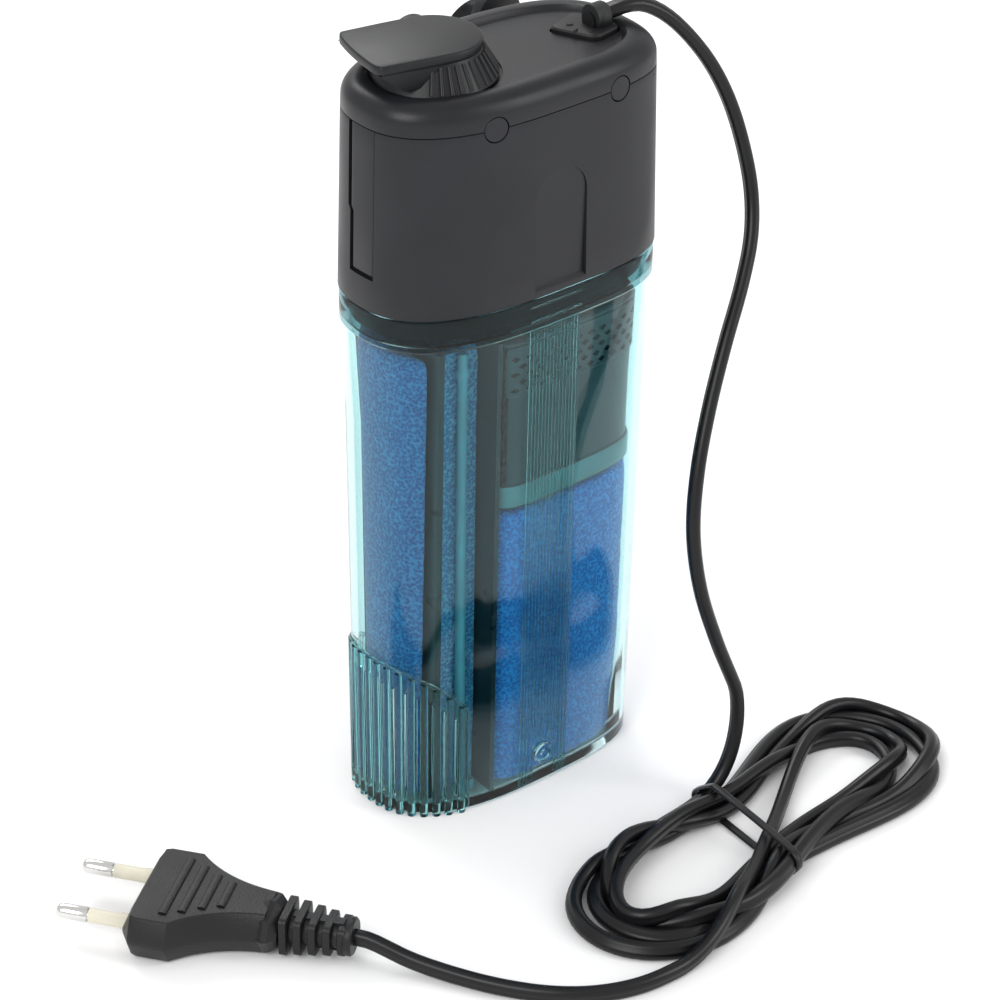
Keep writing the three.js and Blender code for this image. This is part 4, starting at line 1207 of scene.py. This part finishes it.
def drainPlug():
    x, z, r = canister["drain"]
    y = float(outlineY(x, *canisterHalf(z)))
    profile = [
        (0.05, -1.7), (r - 0.1, -1.7), (r, -1.5), (r, 0.5), (r - 0.3, 0.8), (r - 0.8, 0.8),
        (r - 1.0, 0.3), (0.9, 0.3), (0.7, 0.75), (0.05, 0.75),
    ]
    plug = turned("drain_plug_disc", profile, (x, y, z), (0, -1, 0), 48)
    recalculate(plug)
    return plug


shell = finish(canisterShell(), shellTeal, "canister", "canister_shell")
shell.data.materials.append(collarShadeTeal)
for face in shell.data.polygons:  # the collar gets a darker teal: painted shade for the dark spigot behind it under the head
    face.material_index = int(face.center.z > (collarBottom - 0.2) * mm)
for piece in (intakeFins(), finRim(), gripRibs(), collarClip(), drainArch()):
    finish(piece, gripTeal, "canister")
finish(drainPlug(), gripTeal, "canister", "drain_plug")
print("canister made")


# media: sponges shaped to their chambers, and the carbon case
media = {
    "clearance": 2.3,  # from the canister's outside to the sponge
    "cornerPower": 9,
    "turns": 160,
    "foamStep": 2.2,
    "foamRough": 0.22,
}


# outline of a block that fills the canister between two x places, with eased corners
def blockRing(x0, x1, z, inset, half=None):
    halfLength, halfDepth = half or canisterHalf(z, media["clearance"])
    inset = min(inset, (x1 - x0) / 2 - 1)
    cx, hx = (x0 + x1) / 2, (x1 - x0) / 2 - inset
    turns = np.linspace(-math.pi, math.pi, media["turns"], endpoint=False)
    c, s = np.cos(turns), np.sin(turns)
    aspect = halfDepth / hx
    c, s = c / np.hypot(c, s * aspect), s * aspect / np.hypot(c, s * aspect)
    low, high = np.zeros(len(turns)), np.full(len(turns), 80.0)
    k = media["cornerPower"]
    for _ in range(40):
        r = (low + high) / 2
        x, y = cx + r * c, r * s
        corner = np.where(y < 0, planShape["frontCorner"], planShape["backCorner"])
        power = np.where(x < 0, planShape["roundEnd"], corner)
        along, across = abs(x) / (halfLength - inset), abs(y) / (halfDepth - inset)
        body = (along ** power + across ** power) ** (1 / power)
        inside = (body ** k + (abs(x - cx) / hx) ** k) <= 1
        low, high = np.where(inside, r, low), np.where(inside, high, r)
    return np.c_[cx + low * c, low * s, np.full(len(turns), z)]


def foamBlock(name, x0, x1, low, high, seed, endGap=0.0):
    half = lambda z: tuple(np.array(canisterHalf(z, media["clearance"])) - (endGap, 0))
    rings = []
    for inset, z in ((7, low), (3, low), (1.0, low + 0.2), (0.3, low + 0.8)):
        rings.append(blockRing(x0, x1, z, inset, half(z)))
    for z in np.arange(low + 2, high - 1.5, media["foamStep"]):
        rings.append(blockRing(x0, x1, z, 0.0, half(z)))
    for inset, z in ((0.3, high - 0.8), (1.0, high - 0.2), (3, high), (7, high)):
        rings.append(blockRing(x0, x1, z, inset, half(z)))
    rough = np.random.default_rng(seed)
    middle = np.array(((x0 + x1) / 2, 0))
    for ring in rings[3:-3]:
        out = ring[:, :2] - middle
        out /= np.linalg.norm(out, axis=1)[:, None]
        ring[:, :2] -= out * rough.uniform(0, media["foamRough"], len(ring))[:, None]
    return ringObject(name, rings, 60)


# a sponge in the chamber of its node
def spongeIn(node, seed, endGap, past=0.0):
    low, high = boxOf(node)
    return foamBlock(node + "_foam", low[0] - past, high[0], low[2], high[2], seed, endGap)


finish(spongeIn("left_sponge", 3, 2.6, past=0.2), leftFoam, "left_media", "left_sponge")
middleFoamBlock = spongeIn("middle_sponge", 4, 0.4)
rodLow, rodHigh = boxOf("pull_rod")
rodRoom = boxObject("rod room", (rodLow[0] - 8, -40, -5), (rodHigh[0] + 8, rodHigh[1] + 0.4, 160))
finish(combine(middleFoamBlock, [rodRoom]), middleFoam, "middle_media", "middle_sponge")
finish(spongeIn("right_sponge", 5, 0.4), rightFoam, "right_media", "right_sponge")


# carbon case: smooth lower panel over a pale band, rows of diamond holes above
carbonLow, carbonHigh = boxOf("carbon_case")
carbonLidHigh = boxOf("carbon_case_lid")[1]
carbon = {"wall": 1.2, "band": 7.5, "holesLow": 124.5, "holesHigh": 134.5, "holePitch": 4.0, "rowPitch": 2.3}


def carbonCase():
    x0, x1, low, high = carbonLow[0], carbonHigh[0], carbonLow[2], carbonHigh[2]
    wall = carbon["wall"]
    at = lambda inset, z: blockRing(x0, x1, z, inset)
    rings = [at(5, low), at(1, low), at(0.3, low + 0.3), at(0, low + 1)]
    rings += [at(0, low + carbon["band"]), at(0.35, low + carbon["band"] + 0.3)]
    rings.append(at(0.35, carbon["holesLow"] - 2))
    rings += [at(0, carbon["holesLow"] - 1.6), at(0, high - 0.3), at(0.2, high), at(wall, high)]
    rings += [at(wall + 0.2, low + wall + 0.4), at(5, low + wall)]
    case = ringObject("carbon_case_box", rings)
    holes = bars("case holes", caseHoles(), caseTeal, sides=4, smoothAngle=20)
    holes.data.materials.clear()
    return combine(case, [holes], smoothAngle=28)


def caseHoles():
    spots = []
    rows = int((carbon["holesHigh"] - carbon["holesLow"]) / carbon["rowPitch"]) + 1
    for row in range(rows):
        z = carbon["holesLow"] + row * carbon["rowPitch"]
        half = canisterHalf(z, media["clearance"])
        start = carbonLow[0] + 4 + (carbon["holePitch"] / 2 if row % 2 else 0)
        for x in np.arange(start, carbonHigh[0] - 6, carbon["holePitch"]):
            for side in (-1, 1):
                y = float(outlineY(x, *half, side))
                spots.append(((x, y, z), (1.35, 0.85, 4.5), (math.pi / 2, 0, 0)))
    return spots


def caseBand():
    x0, x1, low = carbonLow[0], carbonHigh[0], carbonLow[2]
    at = lambda inset, z: blockRing(x0, x1, z, inset)
    top = low + carbon["band"]
    rings = [at(-0.12, low + 1.2), at(-0.25, low + 1.5), at(-0.25, top - 0.5), at(-0.12, top - 0.2)]
    rings += [at(0.2, top - 0.2), at(0.2, low + 1.2)]
    return ringObject("carbon_case_band", rings, loop=True)


def caseLid():
    x0, x1 = carbonLow[0], carbonHigh[0]
    low, high = carbonHigh[2] + 0.3, carbonLidHigh[2]
    at = lambda inset, z: blockRing(x0, x1, z, inset)
    rings = [at(0.2, low), at(0, low + 0.25), at(0, high - 0.5), at(0.5, high), at(4, high)]
    plate = ringObject("carbon_case_cover", rings)
    spots = []
    for x in np.arange(x0 + 8, x1 - 7, 5.0):
        for y in (-8.5, 0, 8.5):
            spots.append(((x, y, high), (1.3, 4.4, 6), (0, 0, math.pi / 4)))
    slots = bars("cover slots", spots, caseTeal, sides=4, smoothAngle=20)
    slots.data.materials.clear()
    return combine(plate, [slots], smoothAngle=28)


finish(carbonCase(), caseTeal, "carbon_cartridge", "carbon_case")
finish(caseBand(), bandTeal, "carbon_cartridge")
finish(caseLid(), caseTeal, "carbon_cartridge", "carbon_case_lid")


def pullRod():
    x, y = (rodLow[0] + rodHigh[0]) / 2, (rodLow[1] + rodHigh[1]) / 2
    low, high, r = rodLow[2], rodHigh[2], 1.3
    profile = [
        (0.05, low + 0.2), (r, low + 0.2), (r, high - 8), (r + 0.5, high - 7), (r + 0.5, high - 5.6),
        (r, high - 4.8), (r, high - 1.5), (r * 0.7, high - 0.3), (0.05, high),
    ]
    rod = turned("pull_rod_stem", profile, (x, y, 0), (0, 0, 1), 32)
    recalculate(rod)
    foot = boxObject("foot", (x - 4, y - 1.3, low), (x + 4, y + 1.3, low + 3))
    combine(rod, [foot], "UNION")
    return bevel(rod, 0.25, 2, 50)


finish(pullRod(), rodTeal, "middle_media", "pull_rod")
print("media made")


# wall bracket with two round ears, and its suction cups
bracket = {
    "earX": (-2, 25),
    "earWidth": 14,
    "sleeveWall": 2.5,
    "plate": 3,
    "top": 6.5,
    "cupRadius": 11,
    "cupDepth": 7,
    "cupDown": 10,
}


def wallBracket():
    front = headHalf(headBottom)[1] + 0.5
    neckEnd = headHalf(headBottom)[1] + rail["neckEnd"]
    pocketFront, pocketBack = neckEnd - 0.3, neckEnd + rail["depth"] + 0.3
    back = pocketBack + bracket["plate"]
    low, high = headBottom + rail["low"], headBottom + rail["low"] + rail["height"]
    flange, neck = rail["flange"] / 2, rail["neck"] / 2
    x, outer = rail["x"], flange + bracket["sleeveWall"]
    sleeve = boxObject("wall_bracket_hook", (x - outer, front, low - 3), (x + outer, back, high + 1))
    half = bracket["earWidth"] / 2
    left, right = bracket["earX"]
    wing = boxObject("wing", (left - half, back - 3, low + 10), (right + half, back, high + 1))
    parts = [wing]
    for ear in bracket["earX"]:
        outline = archOutline(ear, half, low + 10, seam + bracket["top"])
        place = lambda a, b, y: (a, y, b)
        parts.append(slab("ear", outline, place, lambda a, b: back - 3, lambda a, b: back))
    combine(sleeve, parts, "UNION")
    cuts = []
    for name, reach, near, far in (
        ("pocket", flange + 0.3, pocketFront, pocketBack),
        ("throat", neck + 0.3, front - 2, pocketFront + 0.5),
    ):
        cuts.append(boxObject(name, (x - reach, near, low - 0.3), (x + reach, far, seam + 20)))
    for ear in bracket["earX"]:
        cuts.append(crossPost("button hole", ear, seam - bracket["cupDown"], back - 5, back + 2, 3))
    combine(sleeve, cuts)
    return bevel(sleeve, 0.4, 2, 40)


def suctionCup(name, x):
    ear = headHalf(headBottom)[1] + rail["neckEnd"] + rail["depth"] + 0.3
    back = ear + bracket["plate"] + 0.3
    r, deep = bracket["cupRadius"], bracket["cupDepth"]
    lip = back + deep
    profile = [
        (0.05, ear - 2), (2.4, ear - 2), (3.2, ear - 1.7), (3.55, ear - 1.1), (3.3, ear - 0.4),
        (2.7, ear - 0.3), (2.7, back), (4.4, back), (5.2, back + 0.5), (5.6, back + 1.6),
        (7.6, back + 2.6), (r - 2.2, lip - 1.7), (r - 0.6, lip - 0.7), (r, lip - 0.12), (r - 0.5, lip),
        (r - 2.4, lip - 0.25), (7.0, lip - 2.0), (4, lip - 3.2), (1.5, lip - 3.7), (0.05, lip - 3.75),
    ]
    cup = turned(name, profile, (x, 0, seam - bracket["cupDown"]), (0, 1, 0), 72, 60)
    recalculate(cup)
    return cup


finish(wallBracket(), bracketBlack, "bracket", "wall_bracket")
finish(suctionCup("suction_cup_left_lip", bracket["earX"][0]), cupRubber, "bracket", "suction_cup_left")
finish(suctionCup("suction_cup_right_lip", bracket["earX"][1]), cupRubber, "bracket", "suction_cup_right")
print("bracket made")


# two-pin plug, drawn lying along X with its pins forward, then laid on the floor beside the hank
plug = {
    "front": (-117, -4.6),
    "turn": 126,
    "width": 35.3,
    "thickness": 13.7,
    "gripRise": 0.7,
    "length": 35,
    "edgeIn": 2.6,
    "pinSpacing": 19,
    "pinLength": 19,
    "pinRadius": 2,
    "sleeve": 10,
    "relief": 22,
    "reliefRings": 5,
}


def plugOutline():
    half, length = plug["width"] / 2, plug["length"]
    side = [(0, half - 4.5), (-2.6, half - 0.6), (-4, half), (-12.5, half)]
    for t in np.linspace(0.08, 1, 14):  # the concave flank
        a, b, c = np.array((-12.5, half)), np.array((-21, half - 8.6)), np.array((-length, 7.8))
        side.append(tuple((1 - t) ** 2 * a + 2 * t * (1 - t) * b + t * t * c))
    return side + [(x, -y) for x, y in reversed(side)]


def plugBody():
    outline = plugOutline()
    thick = plug["thickness"] / 2 - plug["gripRise"]

    def ring(inset, z):
        points = []
        for x, y in outline:
            px = x - inset * (0.75 if x > -1 else 0)
            py = y - math.copysign(inset, y)
            points.append((px, py, z))
        return points

    edge = plug["edgeIn"]
    upper = [(0.12, 0.9), (edge - 0.2, thick - 0.6), (edge + 0.1, thick - 0.25), (edge + 0.5, thick)]
    levels = [(inset, -z) for inset, z in reversed(upper)] + [(0, 0)] + upper
    body = ringObject("plug_body_shell", [ring(inset, z) for inset, z in levels])
    recalculate(body)
    rooms = []
    for side in (-1, 1):
        profile = [(0.05, -8), (2.3, -8), (2.3, 1), (0.05, 1)]
        room = turned("room", profile, (0, side * plug["pinSpacing"] / 2, 0), (1, 0, 0), 32)
        recalculate(room)
        rooms.append(room)
    return combine(body, rooms, smoothAngle=24)


# raised grips on both faces, shorter towards the cable, and the collar lumps at the back
def plugGrips():
    spots = []
    for face in (-1, 1):
        for number in range(4):
            x = -10.2 - number * 4.4
            half = (11.6, 9.6, 7.0, 5.0)[number]
            z = face * (plug["thickness"] / 2 - plug["gripRise"] - 0.05)
            spots.append(((x, 0, z), (1.25, plug["gripRise"], 2 * half), (math.pi / 2, 0, 0)))
    return bars("plug_grips", spots, plugBlack, sides=8, smoothAngle=30)


def plugCollar():
    back = -plug["length"]
    profile = [
        (0.05, back - 3.2), (6.4, back - 3.2), (8.6, back - 1.2), (8.9, back + 0.2),
        (7.6, back + 2.6), (5, back + 3.6), (0.05, back + 3.6),
    ]
    thing = turned("plug_collar", profile, (0, 0, 0), (1, 0, 0), 8, 20)
    recalculate(thing)
    for vertex in thing.data.vertices:
        vertex.co.z *= 0.78
    return thing


def plugRelief():
    start, back = -plug["length"] - 3.0, -plug["length"] - plug["relief"]
    profile = [(0.05, start), (4.5, start), (3.3, back), (0.05, back)]
    core = turned("plug_strain_relief_core", profile, (0, 0, 0), (1, 0, 0), 32)
    recalculate(core)
    rings = []
    count = plug["reliefRings"]
    for number in range(count):
        x = start - 1.6 - number * 3.7
        size = 6.0 - number * 0.42
        r = 1.5
        outline = []
        for cx, cy, first in ((1, 1, 0), (-1, 1, 90), (-1, -1, 180), (1, -1, 270)):
            for turn in range(first, first + 91, 18):
                a = math.radians(turn)
                outline.append((cx * (size - r) + r * math.cos(a), cy * (size - r) * 0.92 + r * math.sin(a)))
        steps = ((x - 1.15, 0.9), (x - 0.9, 1), (x + 0.9, 1), (x + 1.15, 0.9))
        wall = [[(px, a * k, b * k) for a, b in outline] for px, k in steps]
        ring = ringObject("ring", wall)
        recalculate(ring)
        rings.append(ring)
    for side in (-1, 1):  # webs that join the rings on two sides
        last = start - 1.6 - (count - 1) * 3.7
        rings.append(boxObject("web", (last, -1.3, side * 3.0 - 1.4), (start, 1.3, side * 3.0 + 1.4)))
    profile = [
        (0.05, back), (4.6, back), (5.1, back + 0.5), (5.1, back + 1.8),
        (4.4, back + 2.3), (0.05, back + 2.3),
    ]
    end = turned("end", profile, (0, 0, 0), (1, 0, 0), 32)
    recalculate(end)
    return combine(core, rings + [end], "UNION", 30)


def plugPin(name, side):
    r, tip, sleeve = plug["pinRadius"], plug["pinLength"], plug["sleeve"]
    profile = [(0.05, -7.5), (r - 0.5, -7.5), (r - 0.5, sleeve + 0.3), (r - 0.1, sleeve + 0.3)]
    profile += [(r, sleeve + 0.45), (r, tip - 2.0)]
    for turn in range(15, 90, 15):
        a = math.radians(turn)
        profile.append((r * math.cos(a), tip - 2.0 + 1.9 * math.sin(a)))
    profile.append((0.05, tip - 0.1))
    pin = turned(name, profile, (0, side * plug["pinSpacing"] / 2, 0), (1, 0, 0), 48)
    recalculate(pin)
    return pin


def pinSleeve(name, side):
    r, end = plug["pinRadius"], plug["sleeve"]
    profile = [
        (r - 0.4, -0.6), (r + 0.15, -0.6), (r + 0.15, 1.4), (r - 0.1, 1.9), (r - 0.1, end - 0.2),
        (r - 0.25, end), (r - 0.4, end), (r - 0.4, -0.6),
    ]
    sleeve = turned(name, profile, (0, side * plug["pinSpacing"] / 2, 0), (1, 0, 0), 40)
    recalculate(sleeve)
    return sleeve


def layPlug(thing):
    turn = Matrix.Rotation(math.radians(plug["turn"]), 4, "Z")
    place = Matrix.Translation((plug["front"][0] * mm, plug["front"][1] * mm, plug["thickness"] / 2 * mm))
    thing.data.transform(place @ turn)
    return thing


plugPieces = [
    finish(layPlug(plugBody()), plugBlack, "head", "plug_body"),
    finish(layPlug(plugGrips()), plugBlack, "head"),
    finish(layPlug(plugCollar()), plugBlack, "head"),
    finish(layPlug(plugRelief()), plugBlack, "head", "plug_strain_relief"),
]
for name, side in (("left", 1), ("right", -1)):
    pin, sleeve = layPlug(plugPin(f"pin_{name}", side)), layPlug(pinSleeve(f"sleeve_{name}", side))
    plugPieces.append(finish(pin, pinNickel, "head", f"plug_pin_{name}"))
    plugPieces.append(finish(sleeve, sleeveCream, "head", f"pin_sleeve_{name}"))
print("plug made")


# wire tie: a flat twin band drawn tight round the strands at the hank's waist
tie = {"along": -5, "width": 2.4, "thick": 1.2, "slack": 0.5}


def twistTie():
    centre = hankMiddle + hankAlong * tie["along"]
    offset = leadLine[:, :2] - centre
    near = (abs(offset @ hankAlong) < 2.5) & (leadLine[:, 2] < 16) & (abs(offset @ hankAcross) < 24)
    spots = np.c_[offset[near] @ hankAcross, leadLine[near, 2]]
    reach = lead["width"] / 2 + tie["thick"] / 2 + tie["slack"] * 0.2
    line = []
    for turn in np.linspace(0, 2 * math.pi, 72, endpoint=False):
        # the furthest strand in each direction holds the band off
        d = np.array((math.cos(turn), math.sin(turn)))
        line.append((turn, (spots @ d).max() + reach))
    hull = []
    for (a, ra), (b, rb) in zip(line, line[1:] + line[:1]):
        step = 2 * math.pi / 72
        slope = (rb - ra) / step
        hull.append((ra * math.cos(a) - slope * math.sin(a), ra * math.sin(a) + slope * math.cos(a)))
    hull = [(side, max(z, tie["thick"] / 2 + 0.05)) for side, z in hull]
    lean = 3.5  # the band crosses the strands at a slight slant
    ring = []
    for side, z in hull:
        place = centre + hankAcross * side + hankAlong * (lean * side / 15)
        ring.append((place[0], place[1], z))
    ring = np.array(ring)
    for _ in range(3):
        ring = (np.roll(ring, 1, 0) + 2 * ring + np.roll(ring, -1, 0)) / 4
    tangent = np.roll(ring, -1, 0) - np.roll(ring, 1, 0)
    tangent /= np.linalg.norm(tangent, axis=1)[:, None]
    turns = np.linspace(0, 2 * math.pi, 16, endpoint=False)
    wide = tie["width"] / 2 * np.cos(turns)
    thick = tie["thick"] / 2 * np.sin(turns) * (0.72 + 0.28 * abs(np.cos(turns)) ** 0.5)
    rings = []
    along3 = np.array((*hankAlong, 0.0))
    for place, ahead in zip(ring, tangent):
        side = along3 - ahead * np.dot(along3, ahead)
        side /= np.linalg.norm(side)
        out = np.cross(ahead, side)
        rings.append(place + np.outer(wide, side) + np.outer(thick, out))
    band = ringObject("twist_tie_band", rings, 50, loop=True)
    recalculate(band)
    return band


tiePiece = finish(twistTie(), tieBlack, "head", "twist_tie")
finish(leadPiece, leadBlack, "head", "lead_upper", "lead_hank", "lead_lower")


# finishes for the pieces kept from the frame
keptFinishes = {
    softRubber: ("canister_seal", "upper_bush", "lower_bush"),
    motorGrey: ("riser_duct", "impeller_chamber", "impeller_cover", "rotor_well"),
    shaftCeramic: ("rotor_shaft",),
    laminatedSteel: ("stator_core",),
    copperWinding: ("stator_coil",),
    magnetDark: ("magnet_rotor",),
    impellerWhite: ("impeller",),
    partitionTeal: ("partition_left", "partition_right"),
    carbonBlack: ("carbon_granules",),
}
for material, names in keptFinishes.items():
    for name in names:
        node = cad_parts[name]
        for slot in node.material_slots:
            slot.material = material


# floor, soft lights and a bright room
studio = {
    "floor": (0.93, 0.93, 0.93),
    "room": 0.78,
    "lights": (  # place (m), aim (m), size (m), power (W)
        ((-1.3, -0.5, 1.1), (0, 0, 0.1), (0.9, 0.9), 14),
        ((0.9, -1.2, 0.9), (0, 0, 0.1), (0.5, 1.1), 9),
        ((0.3, 1.3, 1.3), (0, 0, 0.15), (1.2, 0.6), 12),
    ),
}


def floorPlane():
    s, z = 2500, -0.02
    ground = meshObject("floor", [(-s, -s, z), (s, -s, z), (s, s, z), (-s, s, z)], [(0, 1, 2, 3)])
    material = newMaterial("pale floor", studio["floor"], 0.9)
    material.node_tree.nodes["Principled BSDF"].inputs["Specular IOR Level"].default_value = 0.1
    ground.data.materials.append(material)


def softLight(number, place, aim, size, power):
    data = bpy.data.lights.new(f"soft light {number}", "AREA")
    data.shape = "RECTANGLE"
    data.size, data.size_y = size
    data.energy = power
    light = bpy.data.objects.new(data.name, data)
    light.location = place
    light.rotation_euler = (Vector(aim) - Vector(place)).to_track_quat("-Z", "Y").to_euler()
    bpy.context.scene.collection.objects.link(light)


def room():
    world = bpy.data.worlds.new("room")
    world.use_nodes = True
    world.node_tree.nodes["Background"].inputs["Color"].default_value = (1, 1, 1, 1)
    world.node_tree.nodes["Background"].inputs["Strength"].default_value = studio["room"]
    bpy.context.scene.world = world


floorPlane()
for number, light in enumerate(studio["lights"], 1):
    softLight(number, *light)
room()
print("studio lit")
